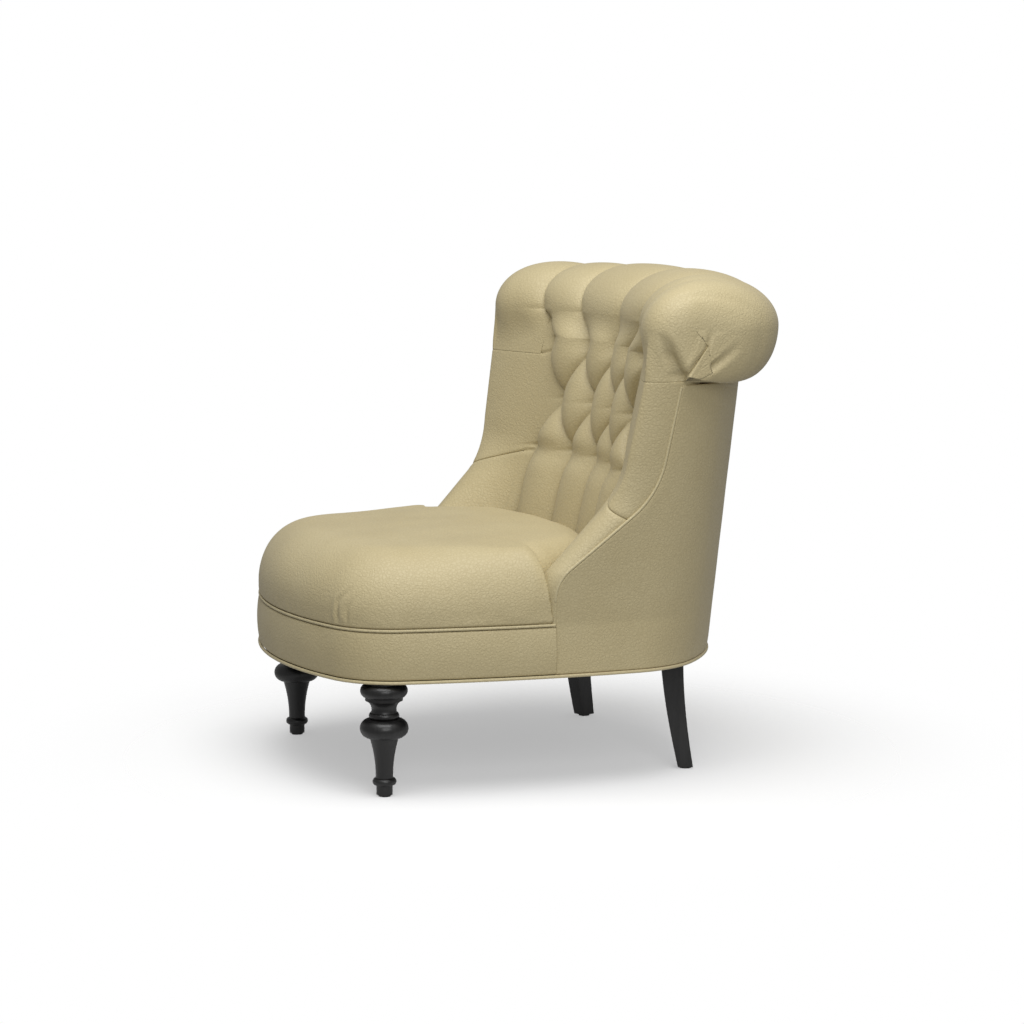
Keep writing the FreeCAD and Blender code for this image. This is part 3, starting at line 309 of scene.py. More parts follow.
def newGroup(name, outputs):
    # A shader node group with a point, a scale and named outputs.
    group = bpy.data.node_groups.new(name, "ShaderNodeTree")
    group.interface.new_socket("Point", in_out="INPUT", socket_type="NodeSocketVector")
    group.interface.new_socket("Scale", in_out="INPUT", socket_type="NodeSocketFloat")
    for label in outputs:
        group.interface.new_socket(label, in_out="OUTPUT", socket_type="NodeSocketFloat")
    return group, group.nodes.new("NodeGroupInput").outputs, group.nodes.new("NodeGroupOutput").inputs


def closeGroup(group, result, values):
    # Links a group's values to its outputs, in order.
    for socket, value in zip(result, values):
        group.links.new(value, socket)
    return group


def addNode(tree, kind, inputs, **settings):
    # A node with its settings. inputs gives a socket to link or a value to set, by name or in order.
    node = tree.nodes.new("ShaderNode" + kind)
    for setting, value in settings.items():
        setattr(node, setting, value)
    for place, value in inputs.items() if isinstance(inputs, dict) else enumerate(inputs):
        if isinstance(value, bpy.types.NodeSocket):
            tree.links.new(value, node.inputs[place])
        else:
            node.inputs[place].default_value = value
    return node.outputs


def mathNode(tree, kind, *values, clamp=False):
    # A math node over sockets or numbers.
    return addNode(tree, "Math", values, operation=kind, use_clamp=clamp)[0]


def noiseNode(tree, point, scale, detail=2.0, roughness=0.5):
    # Noise over a point, as its number output.
    given = {"Vector": point, "Scale": scale, "Detail": detail, "Roughness": roughness}
    return addNode(tree, "TexNoise", given)["Fac"]


def rampNode(tree, value, low, high):
    # Maps low..high to 0..1, smoothly and clamped.
    given = {"Value": value, "From Min": low, "From Max": high}
    return addNode(tree, "MapRange", given, interpolation_type="SMOOTHSTEP")["Result"]


def mixColour(tree, share, a, b):
    # Mixes two colours by a share. Its inputs 6 and 7 and its output 2 are the colour ones.
    given = {0: share}
    for place, value in ((6, a), (7, b)):
        given[place] = value if isinstance(value, bpy.types.NodeSocket) else (*value, 1.0)
    return addNode(tree, "Mix", given, data_type="RGBA")[2]


def bumpNode(tree, height, distance, strength):
    # A bump from a height that is measured in shares of a distance.
    return addNode(tree, "Bump", {"Distance": distance, "Strength": strength, "Height": height})["Normal"]


grainLook = {
    "bendScale": 110.0, "bend": 0.0026, "smoothness": 0.6, "creaseScale": 0.55,
    "creaseWidth": 0.22, "creaseHeight": 0.30, "pebble": 0.7, "fineScale": 1100.0, "fineHeight": 0.15,
    "toneScale": 7.0,
}


def grainGroup():
    # Pebbled leather: rounded cells bent by noise, creases between them, and slow changes of tone.
    c = grainLook
    group, given, result = newGroup("pebbledGrain", ("Height", "Crease", "Tone"))
    point = given["Point"]
    bend = addNode(group, "TexNoise", {"Vector": point, "Scale": c["bendScale"]})["Color"]
    point = addNode(group, "VectorMath", (bend, (c["bend"],) * 3, point), operation="MULTIPLY_ADD")[0]
    cells = {"Vector": point, "Scale": given["Scale"], "Smoothness": c["smoothness"]}
    cells = addNode(group, "TexVoronoi", cells, feature="SMOOTH_F1")["Distance"]
    cracks = {"Vector": point, "Scale": mathNode(group, "MULTIPLY", given["Scale"], c["creaseScale"])}
    cracks = addNode(group, "TexVoronoi", cracks, feature="DISTANCE_TO_EDGE")["Distance"]
    crease = rampNode(group, cracks, 0.0, c["creaseWidth"])
    pebble = mathNode(group, "MULTIPLY_ADD", cells, -c["pebble"], c["pebble"])
    fine = noiseNode(group, given["Point"], c["fineScale"])
    height = mathNode(group, "MULTIPLY_ADD", crease, c["creaseHeight"], pebble)
    height = mathNode(group, "MULTIPLY_ADD", fine, c["fineHeight"], height)
    tone = noiseNode(group, given["Point"], c["toneScale"], 3.0, 0.6)
    return closeGroup(group, result, (height, crease, tone))


def woodGroup():
    # Straight grain along the local Z axis: noise stretched lengthwise, with finer pores in it.
    group, given, result = newGroup("straightGrain", ("Height", "Figure"))
    point = addNode(group, "Mapping", {"Vector": given["Point"], "Scale": (1.0, 1.0, 0.045)})[0]
    figure = noiseNode(group, point, given["Scale"], 4.0, 0.6)
    pores = noiseNode(group, point, mathNode(group, "MULTIPLY", given["Scale"], 9.0), 2.0, 0.6)
    pores = rampNode(group, pores, 0.40, 0.56)
    height = mathNode(group, "MULTIPLY_ADD", pores, 0.6, mathNode(group, "MULTIPLY", figure, 0.4))
    return closeGroup(group, result, (height, figure))


def weaveGroup():
    # Plain weave: sin(scale x) sin(scale y), brought to 0..1.
    group, given, result = newGroup("plainWeave", ("Height",))
    split = addNode(group, "SeparateXYZ", (given["Point"],))
    turns = [mathNode(group, "MULTIPLY", split[axis], given["Scale"]) for axis in "XY"]
    threads = mathNode(group, "MULTIPLY", *(mathNode(group, "SINE", turn) for turn in turns))
    return closeGroup(group, result, (mathNode(group, "MULTIPLY_ADD", threads, 0.5, 0.5),))


groups = {"grain": grainGroup(), "wood": woodGroup(), "weave": weaveGroup()}


def emptyTree(owner):
    # The node tree of a material or world, cleared.
    owner.use_nodes = True
    owner.node_tree.nodes.clear()
    return owner.node_tree


def newMaterial(name, group, scale):
    # A material's empty tree, with object coordinates fed through an effect group.
    tree = emptyTree(bpy.data.materials.new(name))
    point = tree.nodes.new("ShaderNodeTexCoord").outputs["Object"]
    effect = addNode(tree, "Group", {}, node_tree=groups[group])
    node = effect[0].node
    node.inputs["Scale"].default_value = scale
    tree.links.new(point, node.inputs["Point"])
    return tree, effect, point


def closeMaterial(name, tree, settings):
    # The material itself, with the shader's settings as values or sockets.
    addNode(tree, "OutputMaterial", (addNode(tree, "BsdfPrincipled", settings)[0],))
    return bpy.data.materials[name]


leatherLook = {
    "colour": (0.490, 0.412, 0.232), "pale": (0.580, 0.505, 0.310), "deep": (0.345, 0.280, 0.144),
    "grain": 300.0, "grainDepth": 0.0007, "bumpStrength": 0.85, "roughness": 0.47, "creaseRough": 0.10,
    "driftRough": 0.06, "driftFrom": 0.30, "driftTo": 0.72, "drift": 0.30, "creaseDark": 0.22,
    "specular": 0.42, "sheen": 0.06, "sheenRough": 0.5,
}


def leatherMaterial(name, lift=0.0, depth=1.0):
    # Semi-aniline leather: tone drifts slowly, creases are darker, and the grain breaks up the sheen.
    # lift makes it paler and depth scales the grain.
    c = leatherLook
    tree, effect, point = newMaterial(name, "grain", c["grain"])
    base = [between(v, p, lift) for v, p in zip(c["colour"], c["pale"])]
    drift = rampNode(tree, effect["Tone"], c["driftFrom"], c["driftTo"])
    colour = mixColour(tree, mathNode(tree, "MULTIPLY", drift, c["drift"]), base, c["pale"])
    sunk = mathNode(tree, "MULTIPLY_ADD", effect["Crease"], -c["creaseDark"], c["creaseDark"])
    roughest = c["roughness"] + c["creaseRough"]
    rough = mathNode(tree, "MULTIPLY_ADD", effect["Crease"], -c["creaseRough"], roughest)
    return closeMaterial(name, tree, {
        "Base Color": mixColour(tree, sunk, colour, c["deep"]),
        "Roughness": mathNode(tree, "MULTIPLY_ADD", drift, c["driftRough"], rough),
        "Specular IOR Level": c["specular"], "Sheen Weight": c["sheen"], "Sheen Roughness": c["sheenRough"],
        "Normal": bumpNode(tree, effect["Height"], c["grainDepth"] * depth, c["bumpStrength"]),
    })


legLook = {
    "colour": (0.0028, 0.0026, 0.0025), "worn": (0.020, 0.019, 0.018), "grain": 70.0, "wearScale": 38.0,
    "wearShare": 0.35, "figureShare": 0.5, "roughness": 0.34, "figureRough": 0.16,
    "coat": 0.25, "coatRough": 0.18, "bumpDepth": 0.00025, "bumpStrength": 0.6,
}


def legMaterial(name):
    # Black lacquer over open-grained wood: pores show through it, and it is a little worn.
    c = legLook
    tree, effect, point = newMaterial(name, "wood", c["grain"])
    worn = rampNode(tree, noiseNode(tree, point, c["wearScale"], 4.0, 0.65), 0.56, 0.78)
    figure = mathNode(tree, "MULTIPLY", rampNode(tree, effect["Figure"], 0.35, 0.7), c["figureShare"])
    share = mathNode(tree, "ADD", mathNode(tree, "MULTIPLY", worn, c["wearShare"]), figure, clamp=True)
    return closeMaterial(name, tree, {
        "Base Color": mixColour(tree, share, c["colour"], c["worn"]),
        "Roughness": mathNode(tree, "MULTIPLY_ADD", effect["Figure"], c["figureRough"], c["roughness"]),
        "Coat Weight": c["coat"], "Coat Roughness": c["coatRough"],
        "Normal": bumpNode(tree, effect["Height"], c["bumpDepth"], c["bumpStrength"]),
    })


def clothMaterial(name, colour, scale, depth):
    # Woven cloth or webbing, darker between its threads.
    tree, effect, point = newMaterial(name, "weave", scale)
    fluff = mathNode(tree, "MULTIPLY_ADD", noiseNode(tree, point, scale * 0.4, 3.0), 0.5, 0.6)
    share = mathNode(tree, "MULTIPLY", effect["Height"], fluff, clamp=True)
    return closeMaterial(name, tree, {
        "Base Color": mixColour(tree, share, [0.45 * v for v in colour], colour), "Roughness": 0.92,
        "Normal": bumpNode(tree, effect["Height"], depth, 0.8),
    })


def plainMaterial(name, group, scale, value, low, high, roughness, change=0.0, depth=0.0, strength=0.5,
                  metallic=0.0):
    # One value of its group picks between a low and a high tone, and can change the roughness.
    tree, effect, point = newMaterial(name, group, scale)
    settings = {
        "Base Color": mixColour(tree, effect[value], low, high), "Metallic": metallic, "Roughness": roughness}
    if change:
        settings["Roughness"] = mathNode(tree, "MULTIPLY_ADD", effect[value], change, roughness)
    if depth:
        settings["Normal"] = bumpNode(tree, effect["Height"], depth, strength)
    return closeMaterial(name, tree, settings)


nodeMaterials = {
    "leather": leatherMaterial("grainedLeather"),
    "welt_leather": leatherMaterial("pipingLeather", 0.55, 0.5),
    "leg_wood": legMaterial("blackLacqueredWood"),
    # Open-cell foam, pale yellow with fine dark cells.
    "foam": plainMaterial("openCellFoam", "grain", 900.0, "Crease", (0.50, 0.42, 0.20), (0.82, 0.74, 0.48),
                          0.95, depth=0.0006, strength=0.8),
    "webbing": clothMaterial("juteWebbing", (0.42, 0.32, 0.19), 1400.0, 0.0006),
    "dust_cloth": clothMaterial("blackCambric", (0.030, 0.030, 0.032), 4200.0, 0.0002),
    # Bare wood of the inner frame.
    "frame_wood": plainMaterial("planedBeech", "wood", 34.0, "Figure", (0.62, 0.42, 0.24), (0.45, 0.28, 0.14),
                                0.62, depth=0.0003),
    "plywood": plainMaterial("birchPlywood", "wood", 34.0, "Figure", (0.70, 0.54, 0.34), (0.55, 0.39, 0.22),
                             0.58, depth=0.0003),
    # Zinc-plated steel with a soft mottled finish, and black nylon scuffed where it slides.
    "bolt_steel": plainMaterial("zincPlatedSteel", "grain", 500.0, "Tone", (0.52, 0.53, 0.55),
                                (0.68, 0.68, 0.67), 0.25, change=0.2, metallic=1.0),
    "glide_nylon": plainMaterial("mouldedNylon", "grain", 1500.0, "Tone", (0.012, 0.012, 0.012),
                                 (0.045, 0.044, 0.042), 0.45, change=0.2, depth=0.0001),
}
for part in frame["record"]["subparts"]:
    cadNode = frame["nodes"][part["node"]]
    cadNode.data.materials.clear()
    cadNode.data.materials.append(nodeMaterials[part["material_slot"]])

print("materials made")


# Grids that close into solids

def closed(grid):
    # Closes both ends of a wrapped skin by the line midway between its two faces.
    middle = (grid[[0, -1]] + grid[[0, -1], ::-1]) / 2
    return np.concatenate([middle[:1], grid, middle[1:]])


def shrunk(grid, steps=(0.97, 0.7, 0.35, 0.0), centre=None):
    # Closes both ends of a wrapped grid by rings that shrink to a point (x, y), or to the row's mean point.
    first = grid[0].mean(0)
    last = grid[-1].mean(0)
    if centre is not None:
        first[:2] = centre
        last[:2] = centre
    before = [first + (grid[0] - first) * share for share in reversed(steps)]
    after = [last + (grid[-1] - last) * share for share in steps]
    return np.concatenate([np.stack(before), grid, np.stack(after)])


def evenly(points, count):
    # A line resampled at equal steps of its length.
    run = np.concatenate([[0.0], np.cumsum(np.linalg.norm(np.diff(points, axis=0), axis=1))])
    at = np.linspace(0.0, run[-1], count)
    return np.stack([np.interp(at, run, points[:, k]) for k in range(points.shape[1])], 1)


def tube(path, radius, flat, sides=12):
    # A round tube along points; flat is a direction that the line never runs along.
    along = unit(np.gradient(path, axis=0))
    side = unit(np.cross(along, flat))
    up = np.cross(side, along)
    turn = np.linspace(0.0, 2 * math.pi, sides, endpoint=False)[None, :, None]
    return path[:, None] + radius * (np.cos(turn) * side[:, None] + np.sin(turn) * up[:, None])


def nearLine(points, start, end):
    # Distance of points from a straight line, and the share of it at which they lie.
    start = np.array(start)
    run = np.array(end) - start
    share = np.clip(((points - start) @ run) / (run @ run), 0, 1)
    return np.linalg.norm(points - start - share[..., None] * run, axis=-1), share


def nearPath(points, path):
    # Distance of points from a line through several points, and the share of its length.
    best = np.full(points.shape[:-1], 9.0)
    place = np.zeros(points.shape[:-1])
    for k, (start, end) in enumerate(zip(path, path[1:])):
        away, share = nearLine(points, start, end)
        closer = away < best
        best = np.where(closer, away, best)
        place = np.where(closer, (k + share) / (len(path) - 1), place)
    return best, place


# Inside of the chair: tufted back, arms and wings lie on one surface

# Reach of the folds and swell of the tufts; outer is where the outermost buttons sit, edge how far the
# leather beside them takes to rise.
backShape = {
    "half": 0.235, "deck": 0.2763, "top": 0.711, "footReach": 0.119, "topReach": 0.207, "hollow": 0.560,
    "swell": 0.036, "sideSwell": 0.007, "swellFrom": -0.004, "swellTo": 0.012, "fadeFrom": 0.02,
    "fadeTo": 0.09, "pitch": 0.105, "outer": 0.210, "edge": 0.045, "backing": 0.012,
    "sideRim": (0.0, 0.0002, 0.0006, 0.0016), "topRim": (0.0020, 0.0010, 0.0007, 0.0005), "fineFrom": 0.47,
}

# Levels of the buttons, of the fullest points and of the tufts' ends, and how the tufts lie over one another.
tuftShape = {
    "top": 0.706, "middle": 0.603, "low": 0.513, "full": 0.690, "arch": 0.680, "above": 0.011, "below": 0.012,
    "overlap": 1.02, "bow": 4.5, "fall": 0.35, "waist": 0.28, "waistDrop": 0.004, "waistHeight": 0.020,
    "pull": 0.017, "squeeze": 0.8, "openEnd": 1e3, "foldGap": 0.010, "foldBow": 1.25, "sideFall": 0.6,
}
buttonRows = (
    (tuftShape["top"], (-2, -1, 0, 1, 2)),
    (tuftShape["middle"], (-1.5, -0.5, 0.5, 1.5)),
    (tuftShape["low"], (-2, -1, 0, 1, 2)),
)

# Creases beside the buttons, and the seams (level, tilt) that run on from over and under the wing.
pinchShape = {
    "depth": 0.0042, "length": 0.016, "height": 0.0042, "tilt": 0.10,
    "seams": ((0.6765, 0.30), (0.5005, 0.15)), "seamDepth": 0.0032, "seamHeight": 0.0035, "seamFade": 0.006,
}

# Arms and wings: how far their crowns stand in from the side and ahead of its edge, and where they end.
padShape = {
    "armNose": 0.038, "wingNose": 0.026, "noseFrom": 0.450, "noseTo": 0.530, "armLead": 0.012,
    "wingLead": 0.067, "wingBack": 0.006, "fullLevel": 0.560, "endSlope": 0.22, "turn": 0.55, "tilt": 0.12,
    "rimInset": 0.0035, "rimSwell": 0.0005, "rimLead": 0.001,
    "seam": 0.464, "seamGap": 0.0002, "top": 0.677, "armRear": 0.150, "wingRear": 0.190,
}


def hollowAt(x):
    # How far the inside back comes forward beside its middle: a circle's sagitta.
    return backShape["hollow"] - np.sqrt(backShape["hollow"] ** 2 - np.asarray(x, float) ** 2)


def foldsAt(level):
    # Reach of the folds at the middle of the back, a straight rake.
    b = backShape
    return between(b["footReach"], b["topReach"], (level - b["deck"]) / (b["top"] - b["deck"]))


def leadAt(level):
    # How far the crown of the arm or wing stands ahead of the side edge: a half sine squared.
    p = padShape
    share = np.clip((level - backShape["deck"]) / (p["fullLevel"] - backShape["deck"]), 0.0, 1.0)
    full = p["wingLead"] - p["wingBack"] * smoothStep(level, p["noseFrom"], p["noseTo"])
    return between(p["armLead"], full, np.sin(share * math.pi / 2) ** 2)


def crownAt(level):
    # How far across the crown of the arm or wing lies.
    p = padShape
    inset = between(p["armNose"], p["wingNose"], smoothStep(level, p["noseFrom"], p["noseTo"]))
    return halfWidthAt(level) - inset


def pillow(x, z, centre, level, up, down):
    # One tuft's height from 0 to 1: sqrt(1 - r^2), where r^2 = dx^2 + dz^2 + bow dx^2 dz^2.
    # Past r = 1 it falls below 0, by fall (r - 1).
    t = tuftShape
    dx = (x - centre) / (backShape["pitch"] / 2 * t["overlap"])
    dz = (z - level) / np.where(z > level, up, down)
    r2 = dx * dx + dz * dz + t["bow"] * dx * dx * dz * dz
    return np.where(r2 < 1, np.sqrt(np.maximum(1 - r2, 0)), -t["fall"] * (np.sqrt(np.maximum(r2, 1)) - 1))


def tuftedHeight(x, z):
    # The highest of all tufts at each point, as if they lay over one another like scales.
    t = tuftShape
    step = backShape["pitch"] / 2
    height = np.full(np.broadcast(x, z).shape, -1.0)
    waist = 1 - t["waist"] * ridge(z - t["low"] + t["waistDrop"], t["waistHeight"])
    for k in (-3, -1, 1, 3):
        tongue = pillow(x, z, k * step, t["full"], t["openEnd"], t["full"] - t["middle"] - t["above"])
        column = pillow(x, z, k * step, t["low"], t["middle"] - t["below"] - t["low"], t["openEnd"])
        height = np.maximum(np.maximum(height, tongue), column * waist)
    drop = t["middle"] - t["low"] - t["above"]
    for k in (-2, 0, 2):
        scale = pillow(x, z, k * step, t["middle"], t["arch"] - t["middle"], drop)
        height = np.maximum(height, scale)
    return height


def pulled(x, z):
    # How little the buttons hold the leather down: the product of 1 - exp(-way to a button / pull).
    t = tuftShape
    free = np.ones(np.broadcast(x, z).shape)
    for level, columns in buttonRows:
        for column in columns:
            away = np.hypot(x - column * backShape["pitch"], t["squeeze"] * (z - level))
            free = free * (1 - np.exp(-away / t["pull"]))
    return free


def sideHeight(x, z):
    # The side's own rise from the zigzag of its folds: sqrt(1 - (1 - d)^2), d = way past the fold / edge.
    t = tuftShape
    b = backShape
    reach = np.where(z > t["middle"], t["top"] - t["middle"], t["middle"] - t["low"])
    off = np.clip((np.abs(z - t["middle"]) - t["foldGap"]) / (reach - t["foldGap"]), 0, 1)
    fold = b["outer"] - b["pitch"] / 2 * (1 - off ** t["foldBow"])
    d = (np.abs(x) - fold) / b["edge"]
    return np.where(d > 0, 1 - quarter(1 - d), t["sideFall"] * np.maximum(d, -1))


def pinches(x, z):
    # Depth of the level creases beside the buttons, and of the seams that run in to the outermost ones.
    # A crease's depth falls by exp(-off / length) with the way off its button.
    p = pinchShape
    b = backShape
    drop = np.zeros(np.broadcast(x, z).shape)
    for level, columns in buttonRows[1:]:
        for column in columns:
            off = np.abs(x - column * b["pitch"])
            crease = np.exp(-off / p["length"]) * ridge(z - level + p["tilt"] * off, p["height"])
            drop = np.maximum(drop, p["depth"] * crease)
    beyond = smoothStep(x, b["outer"], b["outer"] + p["seamFade"]) * (x < b["half"] + 0.0001)
    for level, tilt in p["seams"]:
        seam = ridge(z - level - tilt * (b["half"] - x), p["seamHeight"])
        drop = np.maximum(drop, p["seamDepth"] * seam * beyond)
    return drop


def insideBase(x, z):
    # Reach of the folds inside the chair, from the middle out to the crown of the arm or wing. Past the
    # outermost buttons it is a cubic that keeps the hollow's slope there and ends at the crown.
    b = backShape
    x = np.abs(x)
    span = crownAt(z) - b["outer"]
    t = np.clip((x - b["outer"]) / span, 0, 1)
    start = foldsAt(z) - hollowAt(b["outer"])
    end = edgeReach(z) - leadAt(z) + b["sideSwell"]
    endSlope = -padShape["endSlope"] * span * smoothStep(z, padShape["noseFrom"], padShape["noseTo"])
    slope = -b["outer"] / math.sqrt(b["hollow"] ** 2 - b["outer"] ** 2) * span
    side = start * (1 + 2 * t) * (1 - t) ** 2 + slope * t * (1 - t) ** 2 + end * t * t * (3 - 2 * t)
    side = side + endSlope * t * t * (t - 1)
    return np.where(x < b["outer"], foldsAt(z) - hollowAt(np.minimum(x, b["outer"])), side)


def insideAt(x, z):
    # Reach of the leather itself: the base less the height of its tufts.
    b = backShape
    base = insideBase(x, z)
    x = np.abs(x)
    height = np.maximum(b["swell"] * tuftedHeight(x, z), b["sideSwell"] * sideHeight(x, z))
    height = np.where(height > 0, height * pulled(x, z), height)
    fade = 1 - smoothStep(x, b["outer"] + b["fadeFrom"], b["outer"] + b["fadeTo"])
    return base - height + pinches(x, z) * fade


def padFace(level, t):
    # The face of the arm or wing. t from 0 to 1 runs from the tufted back to the crown, and from 1 to 2 over
    # the crown to the welt, as a cubic curve.
    p = padShape
    edge = edgeReach(level)
    crownX = crownAt(level)
    crownY = edge - leadAt(level)
    rimX = halfWidthAt(level) - p["rimInset"]
    rimY = edge - p["rimLead"]
    x1 = between(backShape["half"] + clearance, crownX, np.clip(t, 0, 1))
    u = np.clip(t - 1, 0, 1)
    x2 = bezier(crownX, between(crownX, rimX, p["turn"]), rimX + p["rimSwell"], rimX, u)
    tilt = p["tilt"] * (rimX - crownX) * smoothStep(level, p["noseFrom"], p["noseTo"])
    y2 = bezier(crownY, crownY - tilt, between(rimY, crownY, p["turn"]), rimY, u)
    return np.where(t <= 1, x1, x2), np.where(t <= 1, insideAt(x1, level), y2)


# Seat

seatShape = {
    "centreY": -0.15, "columns": 760, "foot": shellShape["seatSeam"] + weltRoom, "shoulder": 0.303,
    "sideShoulder": 0.350, "sideFrom": 0.14, "sideTo": 0.42, "frontFrom": 1.15, "frontTo": 2.0,
    "crown": 0.409, "swell": 0.001, "fullest": 0.62, "rimFront": 0.104, "rimSide": 0.058, "edgeRise": 0.92,
    "soften": 0.10, "intoBack": 0.020, "tuck": 0.0035, "tuckShare": 1 / 6, "roomTop": 0.41,
}


# Plan turns are angles round the seat's middle: -90 degrees is its front, 90 degrees its rear.

def polar(points, turns):
    # Distance of a line from the seat's middle in each direction.
    away = points - [0.0, seatShape["centreY"]]
    angle = np.arctan2(away[:, 1], away[:, 0])
    order = np.argsort(angle)
    return np.interp(turns, angle[order], np.linalg.norm(away, axis=1)[order], period=2 * math.pi)


def seatRoom(level, turns):
    # Where the seat ends at a level: at the outline, or sooner at the arms and the tufted back.
    outer = polar(np.stack(outlineAt(np.linspace(-1, 1, 1601), shellShape["seatSeam"]), 1), turns)
    face = np.stack(padFace(level, np.linspace(1, 0, 40)), 1)
    x = np.linspace(backShape["half"], -backShape["half"], 60)
    rear = np.stack([x, foldsAt(level) - hollowAt(x) - seatShape["intoBack"]], 1)
    room = np.concatenate([face, rear, face[::-1] * [-1, 1]])
    low = math.atan2(face[0, 1] - seatShape["centreY"], face[0, 0])
    turned = np.abs((turns - math.pi / 2 + math.pi) % (2 * math.pi) - math.pi)
    inside = smoothStep(math.pi / 2 - turned, low - 0.006, low + 0.010)
    return outer + inside * (np.minimum(polar(room, turns), outer) - outer)


def seatGrid():
    # Rows run from the middle of the underside out, up the wall and over the dome to the middle of the top.
    # The dome's height over its shoulder is rise (e sin a + (1 - e) (1 - (r / rim)^2)), where a turns a
    # quarter over the rim and e is edgeRise.
    c = seatShape
    turns = np.linspace(-math.pi / 2, 1.5 * math.pi, c["columns"], endpoint=False)
    fromRear = np.abs(turns - math.pi / 2)
    beside = smoothStep(math.pi / 2 - fromRear, c["sideFrom"], c["sideTo"])
    shoulder = between(c["shoulder"], c["sideShoulder"], beside)
    levels = np.linspace(c["foot"], c["roomTop"], 12)
    rooms = np.stack([seatRoom(level, turns) for level in levels])
    pick = np.arange(len(turns))

    def roomAt(level):
        place = np.clip((level - levels[0]) / (levels[1] - levels[0]), 0, len(levels) - 1.001)
        low = place.astype(int)
        return between(rooms[low, pick], rooms[low + 1, pick], place - low)

    def swellAbove(t):
        return c["swell"] * (1 - beside) * math.sin(math.pi * c["fullest"] * t)

    def domeAt(reach, turned):
        rise = c["edgeRise"] * turned + (1 - c["edgeRise"]) * (1 - (reach / rim) ** 2)
        return reach, shoulder + (c["crown"] - shoulder) * rise

    deep = between(c["rimSide"], c["rimFront"], smoothStep(fromRear, c["frontFrom"], c["frontTo"]))
    foot = roomAt(np.full_like(turns, c["foot"])) - c["tuck"]
    rows = [(foot * share, np.full_like(turns, c["foot"] - 0.0022)) for share in (0.0, 0.5, 0.9, 0.985)]
    rows.append((foot, np.full_like(turns, c["foot"] - 0.0015)))
    for t in np.linspace(0.0, 1.0, 18)[:-1]:
        level = between(c["foot"], shoulder, t)
        rows.append((roomAt(level) + swellAbove(t) - c["tuck"] * quarter(1 - t / c["tuckShare"]), level))
    rim = roomAt(shoulder) + swellAbove(1)

    # The rim's plan corners soften towards the top, by a mean over a few degrees each way.
    reach = int(c["soften"] / (2 * math.pi) * len(turns))
    weights = np.cos(np.linspace(-math.pi / 2, math.pi / 2, 2 * reach + 1)) ** 2
    wide = np.concatenate([rim[-reach:], rim, rim[:reach]])
    soft = np.minimum(np.convolve(wide, weights / weights.sum(), "valid"), rim)
    for turn in np.linspace(0.0, math.pi / 2, 40):
        corner = between(rim, soft, math.sin(turn))
        rows.append(domeAt(corner - deep * (1 - math.cos(turn)), math.sin(turn)))
    for share in np.linspace(1.0, 0.0, 40)[1:]:
        rows.append(domeAt((soft - deep) * share, 1))
    return np.stack([pointsOf(r * np.cos(turns), c["centreY"] + r * np.sin(turns), z) for r, z in rows])


puckerShape = {"raised": 0.45, "raisedAt": 2.0, "raisedWidth": 1.2, "uneven": 0.0014, "gather": 0.0004}
seatPuckers = [
    {"path": ((0.232, -0.389, 0.287), (0.231, -0.3865, 0.323), (0.248, -0.368, 0.347)),
     "depth": 0.0034, "width": 0.0036},
    {"path": ((0.249, -0.379, 0.287), (0.251, -0.377, 0.314), (0.256, -0.370, 0.327)),
     "depth": 0.0028, "width": 0.0034},
]


def puckered(grid):
    # Moves the seat's leather in along its puckers and out beside them, gathers it a little along its seam,
    # and makes it softly uneven all over.
    c = puckerShape
    normals = surfaceNormals(grid)
    outwards = grid[30] - [0, seatShape["centreY"], 0.3]
    normals *= np.sign((normals[30] * outwards).sum(-1).mean())
    push = c["uneven"] * uneven(grid, 11, 0.08, 0.22)
    for pucker in seatPuckers:
        width = pucker["width"]
        for side in (1, -1):
            away, share = nearPath(grid, [np.array(point) * [side, 1, 1] for point in pucker["path"]])
            fade = pucker["depth"] * (1 - share) ** 0.5
            raised = c["raised"] * ridge(away - c["raisedAt"] * width, width * c["raisedWidth"])
            push += fade * (raised - ridge(away, width))
    along = np.arctan2(grid[..., 0], seatShape["centreY"] - grid[..., 1])
    ripples = np.sin(along * 61 + 2.1 * np.sin(along * 17)) * (1 + np.sin(along * 9))
    push += c["gather"] * ridge(grid[..., 2] - 0.288, 0.012) * ripples
    return grid + normals * (push * smoothStep(grid[..., 2], 0.285, 0.300))[..., None]


addPiece("seatCushion", puckered(seatGrid()), "leather", ["seat_cover", "seat_foam"])


# Padded band under the seat, and the leather outside

bandShape = {
    "foot": shellShape["baseLevel"] + weltRoom, "top": shellShape["seatSeam"] - weltRoom,
    "bulge": 0.004, "thick": 0.0173, "round": 0.003, "ripple": 0.0006, "crowding": 0.96,
}
coverShape = {
    "foot": shellShape["baseLevel"] + weltRoom, "top": shellShape["shellTop"],
    "seam": 0.150, "thick": 0.003, "gap": clearance / 2, "round": 0.002,
    "hem": (0.0, 0.0004, 0.001, 0.002, 0.0035), "wave": 0.0009,
}


